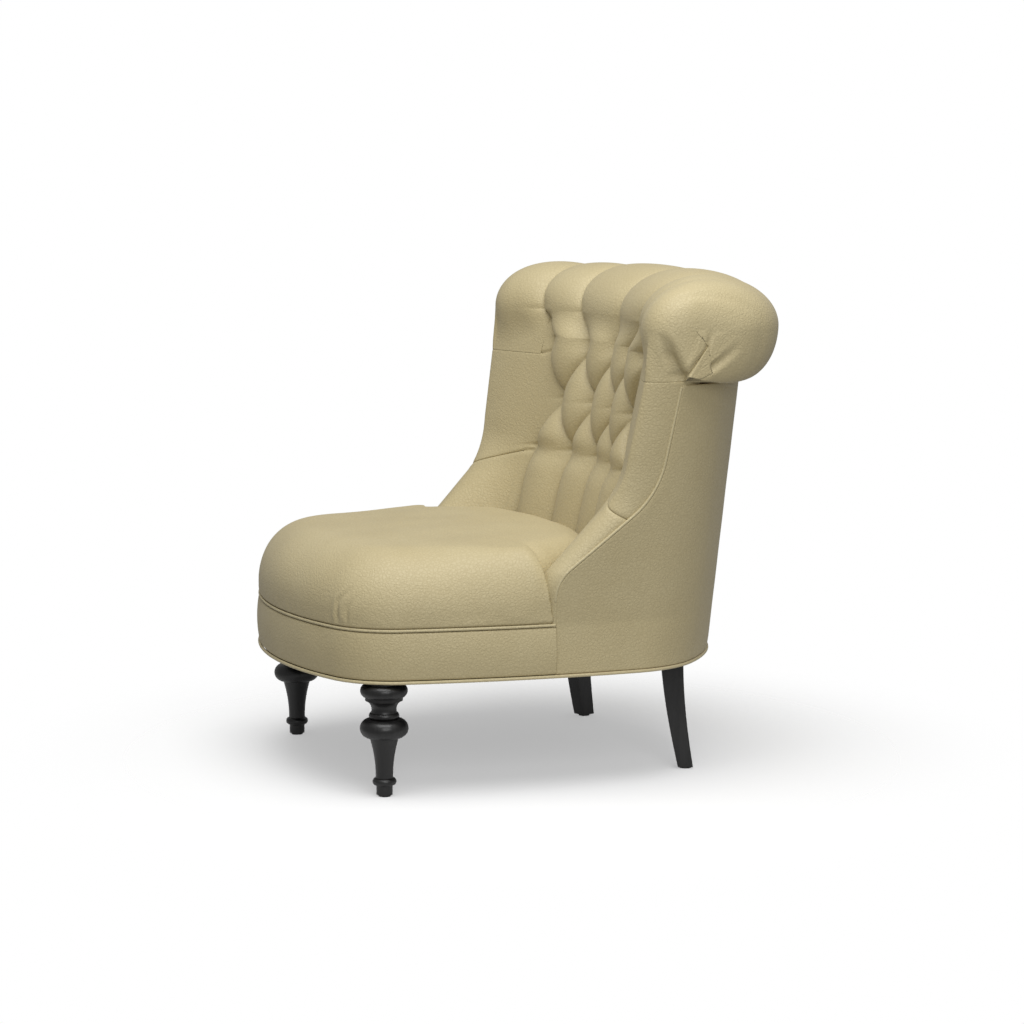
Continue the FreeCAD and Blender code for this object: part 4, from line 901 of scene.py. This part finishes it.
def bandGrid():
    # The section goes up the outer face, bulging by 4 t (1 - t), over a rounded top, and down inside.
    # Points crowd towards both ends by the sine of their place.
    c = bandShape
    t = np.concatenate([[0.0, 0.006, 0.018, 0.04], np.linspace(0.075, 0.925, 20), [0.96, 0.982, 0.994, 1.0]])
    level = between(c["foot"], c["top"], t)
    away = np.minimum(t, 1 - t) * (c["top"] - c["foot"])
    rolled = c["round"] * quarter(1 - away / c["round"])
    inset = np.concatenate([rolled - c["bulge"] * 4 * t * (1 - t), [c["thick"]] * 6])
    level = np.concatenate([level, np.linspace(c["top"], c["foot"], 6)])
    turn = np.linspace(-math.pi / 2, math.pi / 2, 420) * c["crowding"]
    place = np.sin(turn) / math.sin(math.pi / 2 * c["crowding"])
    x, y = outlineAt(place[:, None] * shareAt(-bandLead, level)[None], level[None], inset[None])
    grid = pointsOf(x, y, level)
    ripple = c["ripple"] * uneven(grid, 23, 0.05, 0.12)
    ripple[:, len(t):] = 0
    return grid + unit(pointsOf(x, y - 0.1, 0.0)) * ripple[..., None]


addPiece("frontBand", shrunk(bandGrid()), "leather", ["apron_cover"])


def coverGrid(side):
    # A thin skin: out from one edge to the other on its face, and back on its reverse.
    # side is 1 for the right cover, -1 for the left one and 0 for the one behind.
    c = coverShape
    levels = np.concatenate([
        c["foot"] + np.array([0.0, 0.0005, 0.0012, 0.0024]),
        np.linspace(c["foot"] + 0.005, c["top"] - 0.004, 110),
        c["top"] - np.array([0.0015, 0.0004, 0.0])])
    hem = np.array(c["hem"])
    fine = np.linspace(0.75, 1.0, 1100)
    rows = []
    for level in levels:
        x = outlineAt(fine, level)[0]
        if side == 0:
            seam = c["seam"] - c["gap"]
            inner = np.linspace(seam - 0.005, 0.005 - seam, 80)
            across = np.concatenate([seam - hem, inner, hem[::-1] - seam])
            rows.append(np.interp(np.abs(across), x[::-1], fine[::-1]) * np.sign(across))
        else:
            start = shareAt(edgeReach(level), level)
            stop = np.interp(c["seam"] + c["gap"], x[::-1], fine[::-1])
            inner = np.linspace(start + 0.006 / halfLength, stop - 0.006 / halfLength, 150)
            ends = hem / halfLength
            rows.append(side * np.concatenate([start + ends, inner, stop - ends[::-1]]))
    s = np.array(rows)
    step = np.concatenate([hem, np.full(s.shape[1] - 2 * len(hem), 0.02), hem[::-1]])
    rise = np.minimum(levels - levels[0], levels[-1] - levels)
    away = np.minimum(step[None], rise[:, None])
    draw = c["thick"] / 2 * quarter(1 - away / c["round"])
    sheets = []
    for inset in (draw, c["thick"] - draw):
        sheets.append(pointsOf(*outlineAt(s, levels[:, None], inset), levels[:, None]))
    wave = c["wave"] * uneven(sheets[0], 31 + side, 0.09, 0.3) * smoothStep(away, c["round"], 0.02)
    face = sheets[0] + unit(sheets[0] - sheets[1]) * wave[..., None]
    return np.concatenate([face, sheets[1][:, ::-1]], 1)


for label, side in (("Right", 1), ("Left", -1), ("Back", 0)):
    addPiece("outside" + label, closed(coverGrid(side)), "leather", ["outside_" + label.lower()])


# Welts

weltShape = {
    "slim": 0.0024, "bottom": 0.0028, "sunk": 0.0012,
    "sideFoot": 0.319, "sideTop": 0.668, "sideInset": 0.0022,
}


def weltPiece(name, path, radius, flat, node, joined=False):
    # A piped welt; a joined one closes on itself.
    grid = tube(path, radius, np.array(flat, float))
    if joined:
        grid[0] = (grid[0] + grid[-1]) / 2
        grid[-1] = grid[0]
    else:
        grid = shrunk(grid, (0.8, 0.4, 0.0))
    return addPiece(name, grid, "welt_leather", [node])


def levelPath(end, level, inset, count):
    # The outline from -end to end at a level.
    return pointsOf(*outlineAt(np.linspace(-end, end, count), level, inset), level)


def addWelts():
    # Round the foot, round the front of the seat, and up each side edge, where the side bows in by
    # (reach - widestReach)^2 / (2 sideBow).
    c = weltShape
    sides = shellShape
    foot = levelPath(1, sides["baseLevel"], 0.0, 900)
    weltPiece("bottomWelt", foot, c["bottom"], (0, 0, 1), "bottom_welt", True)
    end = float(shareAt(-bandLead, sides["seatSeam"]))
    front = levelPath(end, sides["seatSeam"], c["sunk"], 640)
    weltPiece("seatWelt", front, c["slim"], (0, 0, 1), "seat_welt")
    line = evenly(roundedPath(*edgeCorners(-c["slim"], c["sideFoot"], c["sideTop"])), 260)
    bow = (line[:, 0] - sides["widestReach"]) ** 2 / (2 * sides["sideBow"])
    x = halfWidthAt(line[:, 1]) - bow - c["sideInset"]
    for label, side in (("Right", 1), ("Left", -1)):
        path = pointsOf(side * x, line[:, 0], line[:, 1])
        weltPiece("wingWelt" + label, path, c["slim"], (1, 0, 0), "wing_welt_" + label.lower())


addWelts()
print("seat, covers and welts made")


# Tufted back

def backGrid():
    # The tufted front from one side to the other, and back over a plain face just behind the folds.
    c = backShape
    rim = c["half"] - np.array(c["sideRim"])
    x = np.concatenate([-rim[:-1], np.linspace(-rim[-1], rim[-1], 252), rim[-2::-1]])
    top = c["top"] - np.array(c["topRim"])
    z = np.concatenate([np.linspace(c["deck"], c["fineFrom"], 60)[:-1],
                        np.linspace(c["fineFrom"], top[0], 124), top[1:]])
    z = z[:, None]
    rear = pointsOf(x, foldsAt(z) + c["backing"] - hollowAt(x), z)[:, ::-1]
    return np.concatenate([pointsOf(x, insideAt(x, z), z), rear], 1)


addPiece("tuftedBack", closed(backGrid()), "leather", ["tufted_back", "back_foam"])


# Head roll

# Reaches and levels of the roll's section at the middle, and how it rounds off towards its tips.
rollShape = {
    "sweep": 0.690, "front": 0.184, "rear": 0.434, "nose": 0.116, "top": 0.8440, "middle": 0.757,
    "underside": shellShape["shellTop"] + clearance, "underFlat": 0.070,
    "half": 0.405, "round": 0.080, "full": 2.4,
    "panelTop": backShape["top"], "lowFront": padShape["top"], "panelGap": 0.0005, "footDepth": 0.045,
    "frontFrom": 0.24, "frontTo": 0.34, "crestDrop": 0.005, "dropFrom": 0.12, "dropTo": 0.30,
    "seatEdge": 0.375, "lift": 0.014, "frontAcross": 0.095, "frontDeep": 0.120,
    "tipReach": 0.190, "tipLevel": 0.735, "tipSwell": 0.0015, "tipMost": 0.001,
}

# Steps round a section: up the front, to the crest, down behind, under, and back. rollStops is the share of
# the way round at which each starts.
rollRows = (48, 48, 34, 20, 12)
rollStops = np.cumsum((0,) + rollRows) / sum(rollRows)


def sagAt(x):
    # How far the roll comes forward beside its middle: a circle's sagitta.
    return rollShape["sweep"] - np.sqrt(rollShape["sweep"] ** 2 - np.asarray(x, float) ** 2)


def swellAt(x):
    # Height of the leather over its folds: the tufts' inside, the side's own past its fold.
    b = backShape
    beside = np.abs(x) - b["outer"]
    return between(b["swell"], b["sideSwell"], smoothStep(beside, b["swellFrom"], b["swellTo"]))


def wingReach(x, level):
    # The wing's front under the roll: its inside face, and past the crown its turn towards the welt.
    p = padShape
    face = np.stack(padFace(p["top"], np.linspace(1, 2, 60)), 1)
    if x <= crownAt(p["top"]):
        return insideBase(x, level) - swellAt(x)
    return np.interp(x, face[:, 0], face[:, 1]) + 0 * level


def rollSection(x):
    # One closed section (reach, level): up the front, over the crest, down behind, and back underneath.
    # Towards the tip its top and rear come in by round (1 - (1 - out^full)^(1 / full)).
    c = rollShape
    x = abs(x)
    out = np.clip((x - c["half"] + c["round"]) / c["round"], 0, 1)
    inset = c["round"] * (1 - (1 - out ** c["full"]) ** (1 / c["full"]))
    lift = c["lift"] * quarter((x - c["seatEdge"]) / (c["half"] - c["seatEdge"]))
    sag = sagAt(x)
    front = c["front"] - sag + c["frontDeep"] * quarter((x - c["half"] + c["frontAcross"]) / c["frontAcross"])
    rear = c["rear"] - sag - inset
    top = c["top"] - inset - c["crestDrop"] * smoothStep(x, c["dropFrom"], c["dropTo"])
    crest = c["front"] + c["nose"] - sag
    under = rear - c["underFlat"]
    foot = c["underside"] + lift
    middle = c["middle"]
    low = (c["panelTop"] - c["panelGap"]) if x < backShape["half"] else c["lowFront"] + lift
    climb = np.concatenate([[0.0, 0.003, 0.010], np.linspace(0.02, 1, rollRows[0] - 2)[:-1]])
    level = between(low, middle, climb)
    start = between(c["panelTop"], c["lowFront"], smoothStep(x, c["frontFrom"], c["frontTo"]))
    share = smoothStep(level, start, middle)
    up = np.stack([wingReach(x, level) * (1 - share) + front * share, level], 1)

    def turned(count):
        turn = np.linspace(0, math.pi / 2, count + 1)[:-1]
        return np.cos(turn), np.sin(turn)

    cos, sin = turned(rollRows[1])
    over = np.stack([crest - (crest - front) * cos, middle + (top - middle) * sin], 1)
    down = np.stack([crest + (rear - crest) * sin, middle + (top - middle) * cos], 1)
    cos, sin = turned(rollRows[3])
    below = np.stack([under + (rear - under) * cos, middle - (middle - foot) * sin], 1)
    t = np.linspace(0, 1, rollRows[4] + 1)[:-1, None]
    back = between(np.array([under, foot]), up[0] + [c["footDepth"], 0], t)
    return np.concatenate([up, over, down, below, back])


# How far the outermost fold has fanned out and how deep the folds are, at each of rollStops.
pleatShape = {
    "fans": (0.0, 0.040, 0.085, 0.095, 0.1, 0.1), "depths": (0.036, 0.026, 0.0090, 0.003, 0.0, 0.0),
    "foldEdge": 0.2, "creaseAt": 0.386, "creaseWidth": 0.006, "creaseDepth": 0.0022,
}
# Creases (reach, level) up the roll's end from one point under it.
gatherShape = {
    "paths": (
        ((0.147, 0.679), (0.137, 0.705), (0.128, 0.731), (0.112, 0.759)),
        ((0.147, 0.679), (0.167, 0.700), (0.187, 0.728), (0.197, 0.762)),
        ((0.147, 0.679), (0.182, 0.692), (0.216, 0.713), (0.250, 0.738))),
    "depth": 0.0052, "width": 0.0062, "raised": 0.25, "raisedAt": 0.0120, "raisedWidth": 0.0065,
    "from": 0.335, "to": 0.375,
}


def gathers(points):
    # Depth from 0 to 1 of the creases on the roll's end, less the raised leather beside them.
    c = gatherShape
    depth = np.zeros(points.shape[:-1])
    raised = np.zeros(points.shape[:-1])
    for path in c["paths"]:
        off, share = nearPath(points, path)
        fade = smoothStep(share, 0.02, 0.20) * (1 - share ** 3)
        depth = np.maximum(depth, ridge(off, c["width"]) * fade)
        raised = np.maximum(raised, ridge(off - c["raisedAt"], c["raisedWidth"]) * fade)
    return depth - c["raised"] * raised


def pleated(xs, grid):
    # Pushes folds into the sections between the pleats. The pleats fan out from the tufts, so place counts
    # them across, brought back to where they start. A pleat is round: sqrt(1 - cell^2) across it.
    c = rollShape
    b = backShape
    step = np.roll(grid, -1, 1) - np.roll(grid, 1, 1)
    normals = unit(np.stack([-step[..., 1], step[..., 0]], -1))
    normals *= np.sign(((grid - grid.mean(1, keepdims=True)) * normals).sum(-1).mean())
    around = np.arange(grid.shape[1]) / grid.shape[1]
    climb = np.clip((grid[..., 1] - c["panelTop"]) / (c["middle"] - c["panelTop"]), 0, 1)
    around = np.where(around[None] < rollStops[1], climb * rollStops[1], around[None])
    risen = smoothStep(around, 0.0, rollStops[1])
    flat = np.abs(np.broadcast_to(xs[:, None], grid.shape[:2]))
    near = b["pitch"] + np.interp(around, rollStops, pleatShape["fans"])
    place = np.where(flat < near, flat / near, 1 + (flat - near) / b["pitch"])
    cell = (2 * (place - np.floor(place)) - 1) / tuftShape["overlap"]
    past = np.clip((place - 2) * b["pitch"] / b["edge"], 0, 1)
    side = np.maximum(1 - quarter(1 - past), pleatShape["foldEdge"] * (past < 0.02))
    bulge = np.where(place > 2, side, np.sqrt(1 - cell ** 2)) * pulled(place * b["pitch"], grid[..., 1])
    depth = np.interp(around, rollStops, pleatShape["depths"]) - (b["swell"] - swellAt(flat)) * (1 - risen)
    outward = unit(between(np.array([-1.0, 0]), normals, risen[..., None]))
    grid = grid - outward * (depth * (around < rollStops[4]) * (1 - bulge))[..., None]
    crease = pleatShape["creaseDepth"] * ridge(flat - pleatShape["creaseAt"], pleatShape["creaseWidth"])
    crease = crease * smoothStep(around, rollStops[1], rollStops[2])
    return grid - normals * (crease * (1 - smoothStep(around, rollStops[3], rollStops[4])))[..., None]


def rollGrid():
    # Pleated sections along x, closed by rings that shrink to the tips, and then gathered at both ends.
    c = rollShape
    plain = c["half"] - c["round"]
    tail = plain + c["round"] * np.sin(np.linspace(0, 1, 46)[1:] * math.pi / 2)
    xs = np.concatenate([-tail[::-1], np.linspace(-plain, plain, 340), tail])
    grid = pleated(xs, np.array([rollSection(x) for x in xs]))
    points = np.concatenate([np.broadcast_to(xs[:, None, None], (*grid.shape[:2], 1)), grid], -1)
    ends = []
    share = np.linspace(1, 0, 56)[1:, None, None]
    for side, row in ((-1, points[0]), (1, points[-1])):
        disc = between(np.array([side * c["half"], c["tipReach"], c["tipLevel"]]), row, share)
        disc[..., 0] = side * (c["half"] + c["tipSwell"] * (1 - share[..., 0] ** 2))
        ends.append(disc)
    points = np.concatenate([ends[0][::-1], points, ends[1]])
    outward = surfaceNormals(points)
    outward *= np.sign((outward * (points - [0, 0.24, c["middle"]])).sum(-1).mean())
    near = smoothStep(np.abs(points[..., 0]), gatherShape["from"], gatherShape["to"])
    depth = gatherShape["depth"] * gathers(points[..., 1:]) * near
    points = points - outward * depth[..., None]
    points[..., 0] = np.clip(points[..., 0], -c["half"] - c["tipMost"], c["half"] + c["tipMost"])
    return points


addPiece("headRoll", rollGrid(), "leather", ["roll_cover", "roll_foam"])
print("back and roll made")


# Arms and wings

# The seam between arm and wing: how it climbs at the back, the crown and the welt, and how far its levels
# spread; how seams draw the leather in; and the hidden side, where both pads' ends shrink to a point.
jointShape = {
    "climbs": (0.036, 0.008, -0.015), "spread": 0.075, "seamDraw": 0.0030, "seamRound": 0.006,
    "topDraw": 0.0012, "topRound": 0.004, "hidden": ((0.0045, 0.004), (0.0060, 0.010)), "sideInset": 0.0115,
    "rearLead": 0.012, "innerX": (0.255, backShape["half"] + clearance), "poleX": 0.285, "poleLead": 0.012,
}


def padGrid(side, foot, top, rear):
    # Sections from the lower end to the upper, each over the face and back behind it.
    c = jointShape
    rims = np.array([0.0, 0.001, 0.0025, 0.005])
    levels = np.concatenate([foot + rims, np.linspace(foot + 0.009, top - 0.009, 90), top - rims[::-1]])
    t = np.concatenate([[0.0, 0.002, 0.006], np.linspace(0.012, 1, 60)[:-1], np.linspace(1, 2, 34)])
    offSeam = np.abs(levels - padShape["seam"])
    near = smoothStep(1 - offSeam / c["spread"], 0, 1)
    level = levels[:, None] + np.interp(t, [0, 1, 2], c["climbs"])[None] * near[:, None]
    x, y = padFace(level, t[None])
    draw = c["seamDraw"] * quarter(1 - offSeam / c["seamRound"])
    draw = draw + c["topDraw"] * quarter(1 - np.abs(levels - padShape["top"]) / c["topRound"])
    along = unit(np.stack([np.gradient(x, axis=1), np.gradient(y, axis=1)], -1)) * draw[:, None, None]
    face = pointsOf(x - along[..., 1], y + along[..., 0], level)
    last = level[:, -1]
    width = halfWidthAt(last)
    edge = edgeReach(last)
    bow = (rear - shellShape["widestReach"]) ** 2 / (2 * shellShape["sideBow"])
    hidden = [(width - inset, edge + back, last) for inset, back in c["hidden"]]
    hidden.append((width - bow - c["sideInset"], np.maximum(rear, edge + c["rearLead"]), levels))
    hidden += [(inner, rear, levels) for inner in c["innerX"]]
    hidden = np.stack([pointsOf(*place) for place in hidden], 1)
    grid = np.concatenate([face, hidden], 1) * [side, 1, 1]
    return shrunk(grid, centre=(c["poleX"] * side, rear - c["poleLead"]))


for label, side in (("Right", 1), ("Left", -1)):
    hand = label.lower()
    p = padShape
    arm = padGrid(side, backShape["deck"], p["seam"] - p["seamGap"], p["armRear"])
    addPiece("arm" + label, arm, "leather", ["arm_cover_" + hand, "arm_foam_" + hand])
    wing = padGrid(side, p["seam"] + p["seamGap"], p["top"], p["wingRear"])
    addPiece("wing" + label, wing, "leather", ["wing_cover_" + hand, "wing_foam_" + hand])
print("arms and wings made")


# Dust cloth, held stretched under the rails

clothShape = {"inset": 0.0055, "thick": 0.0010, "middle": -0.05}


def clothGrid(x, y):
    # Rings that grow to the edge on the underside, and shrink back to the middle on top, which lies its own
    # thickness under the rails.
    c = clothShape
    k = np.linspace(0, 1, 26)[:, None]
    low = pointsOf(x * k, between(c["middle"], y, k), shellShape["baseLevel"] - 2 * c["thick"])
    return np.concatenate([low, low[::-1] + [0, 0, c["thick"]]])


x, y = outlineAt(np.linspace(-1, 1, 361)[:-1], shellShape["baseLevel"], clothShape["inset"])
cloth = addPiece("dustCloth", clothGrid(x, y), "dust_cloth", ["dust_cloth"])


# Floor, light and camera

lookFrom = {
    "azimuth": 69.79, "elevation": 7.70, "distance": 5.0486, "target": (0.0, 0.0, 0.4219), "lens": 101.95,
    "sensor": 36.0,
}


def addCamera():
    # Away from the target by (sin a cos e, -cos a cos e, sin e) times the distance, looking back at it.
    c = lookFrom
    a = math.radians(c["azimuth"])
    e = math.radians(c["elevation"])
    away = Vector((math.sin(a) * math.cos(e), -math.cos(a) * math.cos(e), math.sin(e)))
    data = bpy.data.cameras.new("photoCamera")
    data.lens = c["lens"]
    data.sensor_width = c["sensor"]
    camera = placed("photoCamera", data)
    camera.location = Vector(c["target"]) + away * c["distance"]
    camera.rotation_euler = (-away).to_track_quat("-Z", "Y").to_euler()
    bpy.context.scene.camera = camera


lampSettings = {
    "keyLamp": {"place": (0.85, -0.35, 3.4), "target": (0.0, 0.0, 0.4), "size": 2.8, "power": 100.0},
    "sideLamp": {"place": (3.5, -0.7, 1.9), "target": (0.0, 0.0, 0.5), "size": 2.0, "power": 42.0},
}


def addLamp(name, place, target, size, power):
    # A square area lamp at a place, turned to a target.
    data = bpy.data.lights.new(name, "AREA")
    data.shape = "SQUARE"
    data.size = size
    data.energy = power
    lamp = placed(name, data)
    lamp.location = place
    lamp.rotation_euler = (Vector(target) - Vector(place)).to_track_quat("-Z", "Y").to_euler()


worldLook = {"light": 0.29, "seen": 1.0}


def addWorld():
    # Even white light; the camera sees plain white.
    world = bpy.data.worlds.new("studio")
    bpy.context.scene.world = world
    tree = emptyTree(world)
    seen = addNode(tree, "LightPath", {})["Is Camera Ray"]
    light, plain = (
        addNode(tree, "Background", {"Color": (1, 1, 1, 1), "Strength": worldLook[label]})[0]
        for label in ("light", "seen"))
    addNode(tree, "OutputWorld", addNode(tree, "MixShader", (seen, light, plain)))


floorLook = {"size": 6.0, "colour": (0.95, 0.95, 0.95), "clearness": 0.40, "fadeFrom": 0.35, "fadeTo": 0.95}


def addFloor():
    # A pale, partly clear plane under the chair that fades out with the distance from it.
    c = floorLook
    corners = [(x * c["size"], y * c["size"], 0) for x, y in ((-1, -1), (1, -1), (1, 1), (-1, 1))]
    mesh = bpy.data.meshes.new("floor")
    mesh.from_pydata(corners, [], [(0, 1, 2, 3)])
    floor = placed("floor", mesh)
    material = bpy.data.materials.new("paleFloor")
    tree = emptyTree(material)
    place = addNode(tree, "TexCoord", {})["Object"]
    away = addNode(tree, "VectorMath", (place,), operation="LENGTH")["Value"]
    fade = rampNode(tree, away, c["fadeFrom"], c["fadeTo"])
    share = mathNode(tree, "MULTIPLY_ADD", fade, 1 - c["clearness"], c["clearness"])
    matt = addNode(tree, "BsdfDiffuse", {"Color": (*c["colour"], 1)})[0]
    clear = addNode(tree, "BsdfTransparent", {})[0]
    addNode(tree, "OutputMaterial", addNode(tree, "MixShader", (share, matt, clear)))
    mesh.materials.append(material)


addCamera()
addWorld()
addFloor()
for name, settings in lampSettings.items():
    addLamp(name, **settings)
bpy.context.scene.view_settings.view_transform = "Standard"
